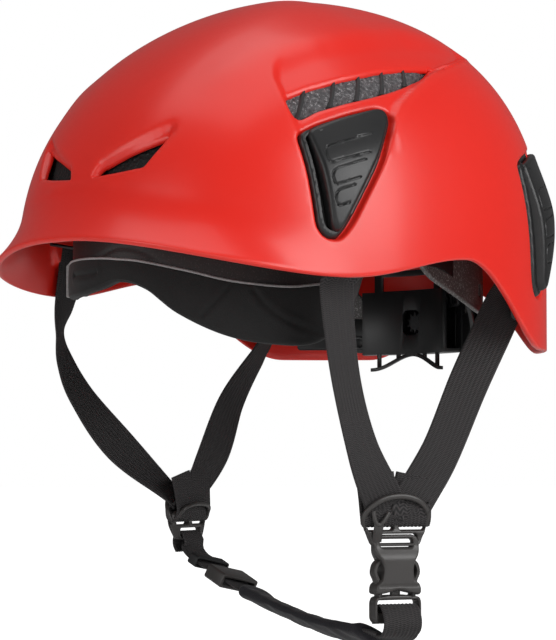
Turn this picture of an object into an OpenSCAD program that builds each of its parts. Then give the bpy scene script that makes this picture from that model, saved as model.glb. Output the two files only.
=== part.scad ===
// Climbing helmet: moulded shell, foam liner, folding head cradle with a size
// wheel, four headlamp clips and a webbing harness with a side-release buckle.
//
// Frame: millimetres, +Z up, the helmet's front faces -Y and the wearer's left
// is +X. The origin is on the crown's vertical axis, level with the edge of
// the shell over the temples.

/* [Shell] */
// Half of the shell's width
shell_half_w = 112; // [108:1:116]
// Crown axis to the front of the dome, above the brim
shell_front = 138; // [134:1:142]
// Crown axis to the rear of the dome
shell_rear = 137; // [133:1:141]
// Height of the crown above the temples' edge
shell_height = 146; // [142:1:150]
// Thickness of the shell's wall
shell_wall = 3; // [2.5:0.1:3.2]
// How far the brim flares out beyond the dome
brim_flare = 11; // [6:1:13]
// Thickness of the foam liner
foam_wall = 14; // [10:1:16]

/* [Headlamp clips] */
// Depth of the V-shaped pocket that each clip sits in
pocket_depth = 3.4; // [2.8:0.1:3.6]
// How far a clip stands proud of the shell
clip_proud = 6; // [5:0.5:7]
// Radius of the clip's pivot bar
clip_bar_r = 1.5; // [1.2:0.1:1.6]

/* [Headband] */
// Radius of the round rear half of the headband
band_r = 73; // [71:1:75]
// How far the round half's centre lies behind the crown axis
band_centre_y = 22; // [18:1:24]
// Half length of the headband's front half
band_front = 145; // [141:1:147]
// Thickness of the plastic bands
band_t = 1.8; // [1.5:0.1:2]
// Height of the size bands
size_band_h = 8; // [7:0.5:8]

/* [Size wheel] */
// Number of teeth on the pinion
pinion_teeth = 10; // [8:2:12]
// Radius of the size wheel's grip
wheel_r = 15; // [13:1:16]

/* [Harness] */
// Width of the webbing
web_w = 20; // [18:1:20]
// Thickness of the webbing
web_t = 1.6; // [1.2:0.1:1.8]
// Height of the Y dividers' centre below the origin
divider_drop = 118; // [114:1:120]

/* [Buckle] */
// Width of the buckle's body
buckle_w = 27; // [26:1:28]
// Length of the buckle's socket
socket_len = 22; // [21:1:23]
// Turn of the near cheek's fittings about the vertical, towards the front
cheek_yaw = -20; // [-30:1:0]

/* [Hidden] */
$fn = 48;
running_gap = 0.06;
// Facet counts of the dome's grids
dome_turns = 72;
dome_rings = 20;
// Superellipse exponent of the shell's plan
plan_n = 2.3;
// The size wheel's level and its pinion
wheel_z = -12;
pinion_module = 1;
pinion_pitch_r = pinion_module * pinion_teeth / 2;
wheel_y = band_centre_y + band_r;

// ---------------------------------------------------------------- helpers

function smooth(a, b, x) = let (t = max(0, min(1, (x - a) / (b - a)))) t * t * (3 - 2 * t);
function unit(v) = v / norm(v);

// Closed solid between two matching grids of points, outer[i][j] and inner[i][j].
module sheet(outer, inner) {
    n = len(outer);
    m = len(outer[0]);
    points = concat([for (row = outer) for (p = row) p], [for (row = inner) for (p = row) p]);
    half = n * m;
    last = n - 1;
    function at(i, j) = i * m + j;
    faces = concat(
        [for (i = [0:last - 1]) for (j = [0:m - 2]) [at(i, j), at(i + 1, j), at(i + 1, j + 1)]],
        [for (i = [0:last - 1]) for (j = [0:m - 2]) [at(i, j), at(i + 1, j + 1), at(i, j + 1)]],
        [for (i = [0:last - 1]) for (j = [0:m - 2])
            [half + at(i + 1, j + 1), half + at(i + 1, j), half + at(i, j)]],
        [for (i = [0:last - 1]) for (j = [0:m - 2])
            [half + at(i, j + 1), half + at(i + 1, j + 1), half + at(i, j)]],
        [for (i = [0:last - 1]) [at(i, m - 1), at(i + 1, m - 1), half + at(i + 1, m - 1)]],
        [for (i = [0:last - 1]) [at(i, m - 1), half + at(i + 1, m - 1), half + at(i, m - 1)]],
        [for (i = [0:last - 1]) [at(i + 1, 0), at(i, 0), half + at(i, 0)]],
        [for (i = [0:last - 1]) [at(i + 1, 0), half + at(i, 0), half + at(i + 1, 0)]],
        [for (j = [0:m - 2]) [at(0, j), at(0, j + 1), half + at(0, j + 1)]],
        [for (j = [0:m - 2]) [at(0, j), half + at(0, j + 1), half + at(0, j)]],
        [for (j = [0:m - 2]) [at(last, j + 1), at(last, j), half + at(last, j)]],
        [for (j = [0:m - 2]) [at(last, j + 1), half + at(last, j), half + at(last, j + 1)]]
    );
    polyhedron(points, faces);
}

// Closed tube through a list of section loops, each a list of the same number of points.
module loft(loops) {
    k = len(loops[0]);
    n = len(loops);
    polyhedron(
        [for (l = loops) for (p = l) p],
        concat(
            [[for (c = [k - 1:-1:0]) c]],
            [for (i = [0:n - 2]) for (c = [0:k - 1])
                [i * k + c, i * k + (c + 1) % k, (i + 1) * k + (c + 1) % k]],
            [for (i = [0:n - 2]) for (c = [0:k - 1])
                [i * k + c, (i + 1) * k + (c + 1) % k, (i + 1) * k + c]],
            [[for (c = [0:k - 1]) (n - 1) * k + c]]
        )
    );
}

// Flat webbing through stations [centre, width direction]; lies flat between them.
module webbing(stations, w = web_w, t = web_t) {
    n = len(stations);
    function ahead(i) = unit(stations[min(i + 1, n - 1)][0] - stations[max(i - 1, 0)][0]);
    loft([for (i = [0:n - 1])
        let (
            c = stations[i][0],
            f = ahead(i),
            across = unit(stations[i][1] - f * (stations[i][1] * f)),
            u = across * w / 2,
            v = cross(f, across) * t / 2
        )
        [c - u - v, c - u + v, c + u + v, c + u - v]
    ]);
}

// Rounded rectangle, centred.
module rounded(w, h, r) {
    square([w - 2 * r, h], center = true);
    square([w, h - 2 * r], center = true);
    for (x = [-1, 1]) {
        for (y = [-1, 1]) {
            translate([x * (w / 2 - r), y * (h / 2 - r)]) circle(r);
        }
    }
}

module mirrored_x(on) {
    mirror([on ? 1 : 0, 0, 0]) children();
}

// ---------------------------------------------------------------- dome surface

// phi is the plan angle (0 at +X, -90 at the front); off grows the dome outwards.
function plan_r(phi, off) =
    let (
        across = abs(cos(phi)) / (shell_half_w + off),
        along = abs(sin(phi)) / ((sin(phi) > 0 ? shell_rear : shell_front) + off)
    )
    pow(pow(across, plan_n) + pow(along, plan_n), -1 / plan_n);

// Profile exponents, blended from the sides to the front and the rear.
function frontness(phi) = pow(max(0, -sin(phi)), 2);
function rearness(phi) = pow(max(0, sin(phi)), 2);
function profile_p(phi) = 2.8 - 0.35 * frontness(phi) - 0.05 * rearness(phi);
function profile_q(phi) = 1.7 - 0.15 * frontness(phi) + 0.8 * rearness(phi);

// Plan angle away from the front, 0 to 180 on either side.
function from_front(phi) = let (a = (phi + 450) % 360) min(a, 360 - a);

// Height of the shell's edge: brim, temple, ear arch, rear tail, nape notch.
function edge_z(phi) =
    let (a = from_front(phi))
    15 - 17 * smooth(0, 58, a) + 13.5 * smooth(60, 97, a)
        - 40 * smooth(97, 132, a) + 34.5 * smooth(153, 180, a);

// Radial position, 0..1 of the plan radius, at height z.
function ratio_at(phi, z, h) =
    z <= 0 ? 1 : pow(1 - pow(z / h, profile_p(phi)), 1 / profile_q(phi));

// The brim's extra radius near the front edge.
function flare(phi, z) =
    let (
        drop = 24,
        depth = max(0, min(1, (edge_z(phi) + drop - z) / drop))
    )
    brim_flare * (1 - smooth(28, 66, from_front(phi))) * depth * depth;

function dome_point(phi, ratio, z, off) =
    let (r = plan_r(phi, off) * ratio + flare(phi, z))
    [r * cos(phi), r * sin(phi), z];

// Point at ring t, 0 at the crown to 1 at the low edge, on the dome grown by off.
function dome_at(phi, t, off, low) =
    let (
        h = shell_height + off,
        turn = max(low + 14, 3),
        last = acos(pow(turn / h, profile_p(phi) / 2)),
        knee = 0.78,
        a = last * min(1, t / knee),
        z = t < knee ? h * pow(cos(a), 2 / profile_p(phi)) : turn + (low - turn) * (t - knee) / (1 - knee),
        ratio = t < knee ? pow(sin(a), 2 / profile_q(phi)) : ratio_at(phi, z, h)
    )
    dome_point(phi, ratio, z, off);

// Whole layer of the dome from off_in to off_out, down to the edge or to cut_z.
module dome_layer(off_out, off_in, turns, rings, cut_z = undef) {
    function low(phi) = is_undef(cut_z) ? edge_z(phi) : cut_z;
    ring_t = [for (j = [0:rings]) max(0.004, j / rings)];
    function grid(off) = [
        for (i = [0:turns - 1]) let (phi = i * 360 / turns) [for (t = ring_t) dome_at(phi, t, off, low(phi))]
    ];
    capped_dome(grid(off_out), grid(off_in));
}

// As sheet(), but closed round the crown axis, with a fan of triangles over each crown.
module capped_dome(outer, inner) {
    n = len(outer);
    m = len(outer[0]);
    half = n * m;
    function at(i, j) = (i % n) * m + j;
    crown_out = [0, 0, outer[0][0][2] + 0.02];
    crown_in = [0, 0, inner[0][0][2] + 0.02];
    points = concat(
        [for (row = outer) for (p = row) p],
        [for (row = inner) for (p = row) p],
        [crown_out, crown_in]
    );
    faces = concat(
        [for (i = [0:n - 1]) for (j = [0:m - 2]) [at(i, j), at(i + 1, j), at(i + 1, j + 1)]],
        [for (i = [0:n - 1]) for (j = [0:m - 2]) [at(i, j), at(i + 1, j + 1), at(i, j + 1)]],
        [for (i = [0:n - 1]) for (j = [0:m - 2])
            [half + at(i + 1, j + 1), half + at(i + 1, j), half + at(i, j)]],
        [for (i = [0:n - 1]) for (j = [0:m - 2])
            [half + at(i, j + 1), half + at(i + 1, j + 1), half + at(i, j)]],
        [for (i = [0:n - 1]) [at(i, m - 1), at(i + 1, m - 1), half + at(i + 1, m - 1)]],
        [for (i = [0:n - 1]) [at(i, m - 1), half + at(i + 1, m - 1), half + at(i, m - 1)]],
        [for (i = [0:n - 1]) [2 * half, at(i + 1, 0), at(i, 0)]],
        [for (i = [0:n - 1]) [2 * half + 1, half + at(i, 0), half + at(i + 1, 0)]]
    );
    polyhedron(points, faces);
}

// Local piece of the dome's layer between two plan angles and two heights.
module dome_patch(off_out, off_in, phi_0, phi_1, z_low, z_high) {
    n = 10;
    m = 8;
    function at(phi, z, off) = dome_point(phi, ratio_at(phi, z, shell_height + off), z, off);
    sheet(
        [for (i = [0:n]) [for (j = [0:m])
            at(phi_0 + (phi_1 - phi_0) * i / n, z_high + (z_low - z_high) * j / m, off_out)]],
        [for (i = [0:n]) [for (j = [0:m])
            at(phi_0 + (phi_1 - phi_0) * i / n, z_high + (z_low - z_high) * j / m, off_in)]]
    );
}

// ---------------------------------------------------------------- clip frames

// Each clip has a hinge frame: its bar's centre, the heading and rise of the
// shell's outward normal there, and the bar's tilt from level.
FRONT = 0;
REAR = 1;
clip_centre = [[95.7, -49.6, 71.7], [82.6, 88.8, 63.8]];
clip_heading = [-15, 37];
clip_rise = [25, 17];
clip_tilt = [18, 12];
// The rear clips are the taller ones
clip_stretch = [1, 1.3];
// Plan angles that hold each clip's patch
clip_span = [[-50, -6], [22, 68]];

// Moves children into a clip's frame: X out of the shell, Y along the bar, Z up.
module clip_frame(which) {
    translate(clip_centre[which]) rotate([clip_tilt[which], -clip_rise[which], clip_heading[which]]) children();
}

// V outline of the clip's plate in its own frame: Y across, Z up.
module clip_outline(which) {
    scale([1, clip_stretch[which]]) polygon([
        [-29, 3.3], [-17, 4.9], [0, 5.1], [20, 4.9], [23.6, 3], [24.2, -1.5], [22.5, -5], [6, -22.1],
        [-20.5, -43.3], [-28.2, -47.6], [-33, -46.8], [-36.2, -43], [-36.9, -38.5], [-31.9, -14.7]
    ]);
}

// The raised panel inside the outline, clear of the groove along its front side.
module panel_outline(which) {
    scale([1, clip_stretch[which]]) polygon([
        [-24.5, 2.7], [-5, 3.5], [17, 3.5], [20.5, 1.5], [21, -2.5], [19.2, -5.6], [3.4, -20.8], [-10.8, -32.4],
        [-26.5, -45.5], [-30, -45.5], [-32, -42.5], [-28.5, -22.5]
    ]);
}

module outline_prism(which, reach = 70) {
    clip_frame(which) rotate([90, 0, 90]) translate([0, 0, -reach / 2]) linear_extrude(reach) children();
}

// Piece of the dome's layer that a clip stands on.
module clip_patch(which, off_out, off_in, z_low = -14, z_high = 92) {
    dome_patch(off_out, off_in, clip_span[which][0], clip_span[which][1], z_low, z_high);
}

module clip_layer(which, off_out, off_in, grow) {
    intersection() {
        clip_patch(which, off_out, off_in);
        outline_prism(which) offset(delta = grow) clip_outline(which);
    }
}

// ---------------------------------------------------------------- shell and liner

// Side vent, as seen from the side: Y across, Z up.
module side_vent_outline() {
    polygon([
        [-75, 82.5], [-63, 87], [-44, 92.2], [-21, 97.8], [-1, 101], [13.5, 102.6], [0, 96.7], [-10.5, 92.6],
        [-18, 89.6], [-31, 86.7], [-49, 82.1], [-63, 77.6], [-72, 72.8], [-74.5, 73.7], [-75.5, 78]
    ]);
}

// Front vent, as seen from the front: X across, Z up.
module front_vent_outline() {
    polygon([[8, 47.5], [12.4, 50.8], [25, 55], [42.5, 59.3], [37, 50], [22.8, 48.6]]);
}

// Rear vent, as seen from behind: X across, Z up.
module rear_vent_outline() {
    polygon([[30, 98], [52, 94], [60, 86], [50, 86], [34, 90]]);
}

module vent_cuts() {
    for (side = [0, 1]) {
        mirrored_x(side == 1) {
            translate([60, 0, 0]) rotate([90, 0, 90]) linear_extrude(60) side_vent_outline();
            translate([0, -90, 0]) rotate([90, 0, 0]) linear_extrude(60) front_vent_outline();
            translate([0, 140, 0]) rotate([90, 0, 0]) linear_extrude(60) rear_vent_outline();
        }
    }
}

module clip_pocket_floor() {
    for (side = [0, 1]) {
        mirrored_x(side == 1) {
            for (which = [FRONT, REAR]) {
                clip_layer(which, -shell_wall + 0.5, -pocket_depth - 2.2, 2.4);
            }
        }
    }
}

module clip_pocket_cut() {
    for (side = [0, 1]) {
        mirrored_x(side == 1) {
            for (which = [FRONT, REAR]) {
                clip_layer(which, 8, -pocket_depth, 0);
            }
        }
    }
}

module shell() {
    color("red") resize([0, 0, 0]) difference() {
        union() {
            dome_layer(0, -shell_wall, dome_turns, dome_rings);
            clip_pocket_floor();
        }
        clip_pocket_cut();
        vent_cuts();
    }
}

foam_out = -pocket_depth - 2.9;
foam_in = foam_out - foam_wall;

module foam_liner() {
    color("dimgray") resize([0, 0, 0]) difference() {
        dome_layer(foam_out, foam_in, 48, 12, 34);
        fold_relief();
    }
}

// Room for the size wheel while the cradle folds up into the shell.
module fold_relief() {
    reach = norm([wheel_y + grip_out + grip_t - pivot_y, wheel_z - wheel_r - pivot_z]) + 1;
    translate([0, pivot_y, pivot_z]) rotate([0, 90, 0])
        cylinder(r = reach, h = 2 * wheel_r + 6, center = true, $fn = 96);
}

// Soft pad that lines the crown of the foam.
module crown_pad() {
    pad_t = 6;
    gap = 0.8;
    color("black") resize([0, 0, 0]) intersection() {
        dome_layer(foam_in - gap, foam_in - gap - pad_t, 36, 10, 60);
        translate([0, 0, 80]) linear_extrude(60) rounded(62, 96, 20);
    }
}

// Thin bars that stand in a side vent, in front of the foam.
module vent_grille() {
    bar_w = 1.6;
    bars = 5;
    color("black") difference() {
        intersection() {
            dome_patch(-shell_wall - 0.4, foam_out + 0.3, -52, 16, 66, 107);
            vent_bars(bar_w, bars);
        }
        outline_prism(FRONT) offset(delta = 3.2) clip_outline(FRONT);
    }
}

module vent_bars(bar_w, bars) {
    function bar_y(i) = -66 + i * 15.5;
    for (i = [0:bars - 1]) {
        translate([50, bar_y(i) - bar_w / 2, 70]) cube([80, bar_w, 36]);
    }
    translate([50, -78, 0]) rotate([90, 0, 90]) linear_extrude(80) polygon([
        [4, 84.5], [34, 94.2], [57, 99.8], [84, 103.6], [84, 106.2], [57, 102.4], [34, 96.8], [4, 87.1]
    ]);
}

// ---------------------------------------------------------------- headlamp clips

// The bar's height above the clip's centre, its length and its middle
hinge_out = 1;
bar_len = 43;
bar_middle = -2;
// Each ear's thickness and radius, and its distance from the middle
ear_t = 3;
ear_r = 2.6;
ear_gap = 9;

// Black plate that fills the V pocket and carries the clip's two pivot ears.
module clip_base(which) {
    color("black") difference() {
        union() {
            clip_layer(which, -pocket_depth + 1.6, -pocket_depth + 0.15, -0.4);
            clip_frame(which) for (y = [bar_middle - ear_gap, bar_middle + ear_gap]) {
                translate([hinge_out, y + ear_t / 2, 0]) rotate([90, 0, 0]) cylinder(r = ear_r, h = ear_t);
                translate([-4, y - ear_t / 2, -ear_r]) cube([4 + hinge_out, ear_t, 2 * ear_r]);
            }
        }
        clip_frame(which) translate([hinge_out, 0, 0]) rotate([90, 0, 0])
            cylinder(r = clip_bar_r + running_gap, h = 2 * ear_gap + 12, center = true);
        clip_pocket_backing(which);
    }
}

// The shell's pocket floor, used to trim what stands on it.
module clip_pocket_backing(which) {
    clip_layer(which, -pocket_depth + 0.15, -pocket_depth - 12, 3);
}

// Raised panel with a hollow underside and a pivot bar between its sides.
module headlamp_clip(which) {
    skin = 1.8;
    color("black") union() {
        intersection() {
            difference() {
                clip_patch(which, clip_proud, -pocket_depth + 2.2);
                intersection() {
                    clip_patch(which, clip_proud - skin, -pocket_depth - 4, -15, 93);
                    outline_prism(which) offset(delta = -skin) panel_outline(which);
                }
                clip_frame(which) translate([hinge_out - 10, -40, 0]) cube([11.2, 80, 20]);
                clip_frame(which) for (y = [bar_middle - ear_gap, bar_middle + ear_gap]) {
                    translate([hinge_out, y, 0]) rotate([90, 0, 0])
                        cylinder(r = ear_r + 0.4, h = ear_t + 1, center = true);
                }
            }
            outline_prism(which) panel_outline(which);
        }
        clip_frame(which) translate([hinge_out, bar_middle, 0]) rotate([90, 0, 0])
            cylinder(r = clip_bar_r, h = bar_len, center = true);
    }
}

// ---------------------------------------------------------------- headband

// Plan point of the head ring at angle a: round behind, drawn out in front.
function ring_at(a, off) = [
    (band_r + off) * cos(a),
    band_centre_y + (sin(a) > 0 ? band_r + off : band_front + off) * sin(a)
];

// Heights of the front band's edges: arched over the forehead, deep at the
// temples and shallow over the ears. Both sides are alike about a = -90.
band_top = 26;
function near_side(a) = a < -90 ? -180 - a : a;
function band_low(a) = 2 - 28 * smooth(-78, -36, near_side(a)) + 38 * smooth(-28, -14, near_side(a));
function pad_low(a) = band_low(a) - 1.5;
function pad_high(a) = pad_low(a) + 10 + 15 * smooth(-80, -40, near_side(a));

// Strip along the head ring between two angles; low and high give its edges' heights.
module ring_strip(a_0, a_1, off_out, off_in, steps, low, high) {
    loft([for (i = [0:steps])
        let (
            a = a_0 + (a_1 - a_0) * i / steps,
            o = ring_at(a, off_out),
            n = ring_at(a, off_in)
        )
        [[n[0], n[1], low(a)], [o[0], o[1], low(a)], [o[0], o[1], high(a)], [n[0], n[1], high(a)]]
    ]);
}

module headband() {
    color("dimgray") difference() {
        ring_strip(-190, 10, band_t, 0, 48, function(a) band_low(a), function(a) band_top);
        pivot_bores();
    }
}

module forehead_pad() {
    color("black") ring_strip(-152, -28, -0.6, -8, 32, function(a) pad_low(a), function(a) pad_high(a));
}

// Side pivots of the folding cradle
pivot_y = band_centre_y;
pivot_z = 19;
pivot_r = 3;

module pivot_bores() {
    for (side = [-1, 1]) {
        translate([side * (band_r + 3), pivot_y, pivot_z]) rotate([0, 90, 0])
            cylinder(r = pivot_r + running_gap, h = 20, center = true);
    }
}

// Headed pin that joins one arm of the cradle to the headband.
module cradle_pivot() {
    color("black") translate([band_r - 2.5, pivot_y, pivot_z]) rotate([0, 90, 0]) {
        cylinder(r = 5, h = 2);
        cylinder(r = pivot_r, h = 9.2);
        translate([0, 0, 9.2]) cylinder(r = 5, h = 1.6);
    }
}

// ---------------------------------------------------------------- rear cradle

arm_in = 3.2;
arm_t = 2.4;
// Radii, about the band's centre, of the housing's inner plate and outer wall
plate_in = band_r - 6;
plate_out = band_r - 4;
wall_in = band_r + arm_in;
wall_out = wall_in + arm_t;
housing_low = wheel_z - 16.4;
housing_high = wheel_z + 16.4;

function arm_z(a) = 10 - 37 * smooth(0, 60, a);

// Side arm of the cradle, from the pivot back to the housing.
module cradle_arm() {
    steps = 16;
    arm_h = 18;
    embed = 0.3;
    loft([for (i = [0:steps])
        let (
            a = -6 + 72 * i / steps,
            o = ring_at(a, arm_in + arm_t - embed),
            n = ring_at(a, arm_in + embed),
            z = arm_z(a)
        )
        [[n[0], n[1], z], [o[0], o[1], z], [o[0], o[1], z + arm_h], [n[0], n[1], z + arm_h]]
    ]);
}

// Round plate about the band's centre line, between two angles and two heights.
module arc_plate(r_in, r_out, a_0, a_1, z_0, z_1) {
    translate([0, band_centre_y, z_0]) rotate([0, 0, a_0])
        rotate_extrude(angle = a_1 - a_0, $fn = 96) translate([r_in, 0]) square([r_out - r_in, z_1 - z_0]);
}

// Thin wavy loop that hangs below the housing, with its struts.
module lower_loop() {
    steps = 28;
    wire = 0.9;
    r = (plate_in + plate_out) / 2;
    function loop_z(a) = housing_low - 0.4 - 7.6 * pow(sin((a - 90) * 4.1), 2);
    loft([for (i = [0:steps])
        let (a = 68 + 44 * i / steps, z = loop_z(a))
        [
            [(r - wire) * cos(a), band_centre_y + (r - wire) * sin(a), z - wire],
            [(r + wire) * cos(a), band_centre_y + (r + wire) * sin(a), z - wire],
            [(r + wire) * cos(a), band_centre_y + (r + wire) * sin(a), z + wire],
            [(r - wire) * cos(a), band_centre_y + (r - wire) * sin(a), z + wire]
        ]
    ]);
    for (a = [72, 82, 98, 108]) {
        arc_plate(plate_in + 0.2, plate_out - 0.2, a - 0.8, a + 0.8, loop_z(a), housing_low + 1);
    }
}

module rear_cradle() {
    color("dimgray") difference() {
        union() {
            for (side = [0, 1]) {
                mirrored_x(side == 1) cradle_arm();
            }
            arc_plate(plate_in, plate_out, 64, 116, housing_low, housing_high);
            arc_plate(plate_in, wall_out, 64, 116, housing_high - 2, housing_high);
            arc_plate(plate_in, wall_out, 64, 116, housing_low, housing_low + 2);
            for (a = [62, 112]) {
                arc_plate(wall_in, wall_out, a, a + 6, housing_low, housing_high);
            }
            difference() {
                arc_plate(plate_in + 0.2, plate_out - 0.2, 70, 110, housing_high - 1, housing_high + 11);
                arc_plate(plate_in - 2, plate_out + 2, 74, 106, housing_high + 0.5, housing_high + 8);
            }
            lower_loop();
        }
        translate([0, band_centre_y + plate_in - 10, wheel_z]) rotate([-90, 0, 0])
            linear_extrude(20) rounded(12, 13, 3);
        pivot_bores();
    }
}

// ---------------------------------------------------------------- size wheel and bands

// A tooth's half width at its root and at its tip, and its height
tooth_root = 0.75;
tooth_tip = 0.32;
tooth_h = 1.9;
band_in = band_r - 2.8;
tooth_step = 180 * pinion_module / (band_in + band_t / 2);

// Size band: an arc that runs from the side into the housing, toothed below.
module size_band() {
    low = wheel_z + pinion_pitch_r + tooth_h / 2;
    color("gray") {
        arc_plate(band_in, band_in + band_t, -2, 100, low, low + size_band_h);
        for (i = [-4:3]) {
            translate([0, band_centre_y, 0]) rotate([0, 0, (i + 0.5) * tooth_step])
                translate([0, band_in + band_t, 0]) rotate([90, 0, 0]) linear_extrude(band_t) polygon([
                    [-tooth_root, low + 0.1], [tooth_root, low + 0.1],
                    [tooth_tip, low - tooth_h], [-tooth_tip, low - tooth_h]
                ]);
        }
    }
}

module ratchet_band_left() {
    size_band();
}

// The other band is the same part turned over about the wheel's axis.
module ratchet_band_right() {
    translate([0, 0, wheel_z]) rotate([0, 180, 0]) translate([0, 0, -wheel_z]) size_band();
}

module adjuster_cover() {
    color("black") difference() {
        union() {
            arc_plate(wall_in, wall_out, 68.4, 111.6, housing_low + 2.2, housing_high - 2.2);
            translate([0, wheel_y + 2, wheel_z]) rotate([-90, 0, 0]) cylinder(r = 7, h = 4.2);
        }
        translate([0, wheel_y, wheel_z]) rotate([-90, 0, 0]) cylinder(r = 3 + running_gap, h = 12);
    }
}

// The grip's distance behind the wheel's centre, and its thickness
grip_out = 6.6;
grip_t = 8;

module adjuster_wheel() {
    flutes = 16;
    flute_r = 1.6;
    color("black") {
        translate([0, wheel_y - 3.4, wheel_z]) rotate([-90, 0, 0]) {
            for (i = [0:pinion_teeth - 1]) {
                rotate([0, 0, i * 360 / pinion_teeth + 90])
                    translate([pinion_pitch_r - tooth_h / 2 - 0.3, 0, 0]) linear_extrude(2.6) polygon([
                        [0, -tooth_root], [0, tooth_root], [tooth_h, tooth_tip], [tooth_h, -tooth_tip]
                    ]);
            }
            cylinder(r = pinion_pitch_r - tooth_h / 2 - 0.2, h = 2.6);
            cylinder(r = 3, h = 11);
        }
        translate([0, wheel_y + grip_out, wheel_z]) rotate([-90, 0, 0]) difference() {
            cylinder(r = wheel_r, h = grip_t);
            for (i = [0:flutes - 1]) {
                rotate([0, 0, i * 360 / flutes]) translate([wheel_r + 0.6, 0, -1])
                    cylinder(r = flute_r, h = grip_t + 2);
            }
        }
    }
}

// ---------------------------------------------------------------- hangers and anchors

// Inner and outer ends of the brackets that hang the headband from the shell.
front_hanger = [[62.6, -68, 12], [86.5, -81, 9]];
side_hanger = [[76.2, -2, 19], [106, -2, 20]];

module headband_hanger(ends) {
    color("black") hull() {
        translate(ends[0]) cube([3, 8, 8], center = true);
        translate(ends[1]) cube([3, 8, 6], center = true);
    }
}

// Where the webbing meets the shell's inner face: centre and outward heading.
front_anchor = [[99.4, -47, 15], -13];
rear_anchor = [[87.5, 76, -10], 38];

// Plate inside the webbing that holds it against the shell.
module strap_anchor(anchor) {
    at = anchor[0];
    heading = anchor[1];
    color("black") translate(at) rotate([90, 0, heading - 90])
        translate([0, 0, 1.4]) linear_extrude(2.4) rounded(24, 10, 2.5);
}

// ---------------------------------------------------------------- harness

// Cheek frame: the Y divider's centre; X out of the cheek, Y to the rear, Z up.
cheek_x = 75;

module cheek_frame(z) {
    translate([cheek_x, 0, z]) rotate([0, 0, cheek_yaw]) children();
}

function cheek_point(p) = [
    cheek_x + p[0] * cos(cheek_yaw) - p[1] * sin(cheek_yaw),
    p[0] * sin(cheek_yaw) + p[1] * cos(cheek_yaw),
    p[2]
];
cheek_across = [-sin(cheek_yaw), cos(cheek_yaw), 0];
strap_end_z = -divider_drop + 13.5;

module strap_front() {
    low = cheek_point([1.5, -7, strap_end_z]);
    color("black") webbing([
        [front_anchor[0] + [0, 0, 7], [0.22, 1, 0]],
        [front_anchor[0] + [0, 0, -6.5], [0.22, 1, 0]],
        [[96.8, -47.5, 3], [0.2, 1, 0]],
        [[93, -48.5, -5], [0.1, 1, 0]],
        [[86, -33, -45], [0.1, 1, 0]],
        [[79.5, -18, -80], [0.25, 1, 0]],
        [low + [0.6, -2.5, 6], cheek_across],
        [low, cheek_across]
    ]);
}

module strap_rear() {
    low = cheek_point([-1.5, 8, strap_end_z]);
    color("black") webbing([
        [rear_anchor[0] + [0, 0, 7], [-0.62, 0.79, 0]],
        [rear_anchor[0] + [0, 0, -10], [-0.62, 0.79, 0]],
        [[86, 67.5, -25], [-0.5, 0.85, 0]],
        [[82, 48, -50], [-0.2, 1, 0]],
        [[79, 27, -80], [0.1, 1, 0]],
        [low + [0.4, 3.5, 6], cheek_across],
        [low, cheek_across]
    ]);
}

module divider_outline() {
    difference() {
        polygon([[-13, -7], [13, -7], [17, 3], [17, 7.5], [3, 7.5], [0, 5], [-3, 7.5], [-17, 7.5], [-17, 3]]);
        for (side = [-1, 1]) {
            translate([side * 8.6, 3.2]) square([13, 3.2], center = true);
        }
        translate([0, -3]) square([21, 3.4], center = true);
    }
}

module strap_divider() {
    color("dimgray") cheek_frame(-divider_drop) rotate([90, 0, 90]) translate([0, 0, -2]) linear_extrude(4)
        divider_outline();
}

// ---------------------------------------------------------------- buckle

// The buckle's frame is the cheek's, with its origin where the socket ends.
buckle_z = -148;
buckle_t = 10;
socket_wall = 2;
prong_pivot = [8.5, -2.6];
prong_barrel_r = 1.5;

module buckle_frame() {
    cheek_frame(buckle_z) rotate([90, 0, 90]) children();
}

module buckle_socket() {
    inner_w = buckle_w - 2 * socket_wall;
    inner_t = buckle_t - 2 * socket_wall;
    color("dimgray") buckle_frame() difference() {
        translate([0, socket_len / 2, -buckle_t / 2]) linear_extrude(buckle_t) rounded(buckle_w, socket_len, 2);
        translate([-inner_w / 2, -1, -inner_t / 2]) cube([inner_w, socket_len - 2, inner_t]);
        for (side = [-1, 1]) {
            translate([side * buckle_w / 2 - 5, 6, -inner_t / 2]) cube([10, 11.5, inner_t]);
        }
    }
}

module buckle_tongue() {
    color("dimgray") buckle_frame() difference() {
        union() {
            translate([0, -7.3, -4.2]) linear_extrude(8.4) rounded(26, 13.4, 2);
            translate([-1.8, -1, -2.4]) cube([3.6, 15, 4.8]);
        }
        translate([-10.4, -11.5, -6]) cube([20.8, 3.6, 12]);
        for (side = [-1, 1]) {
            translate([side * prong_pivot[0], prong_pivot[1], -2.6]) {
                cylinder(r = prong_barrel_r + running_gap, h = 5.2);
                translate([-2.9, 0.4, 0]) cube([5.8, 6, 5.2]);
            }
        }
    }
}

// Springy arm with its hooked head; side is 1 towards the rear, -1 towards the front.
module tongue_prong(side) {
    prong_t = 4.8;
    color("dimgray") buckle_frame() mirror([side < 0 ? 1 : 0, 0, 0]) {
        translate([prong_pivot[0], prong_pivot[1], -prong_t / 2]) cylinder(r = prong_barrel_r, h = prong_t);
        translate([0, 0, -prong_t / 2]) linear_extrude(prong_t) polygon([
            [7.4, -2.2], [9.6, -2.2], [9.8, 7], [13.6, 7.4], [14, 10], [10, 16.4], [8.4, 16.4], [7.4, 8]
        ]);
    }
}

// ---------------------------------------------------------------- chin strap

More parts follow.
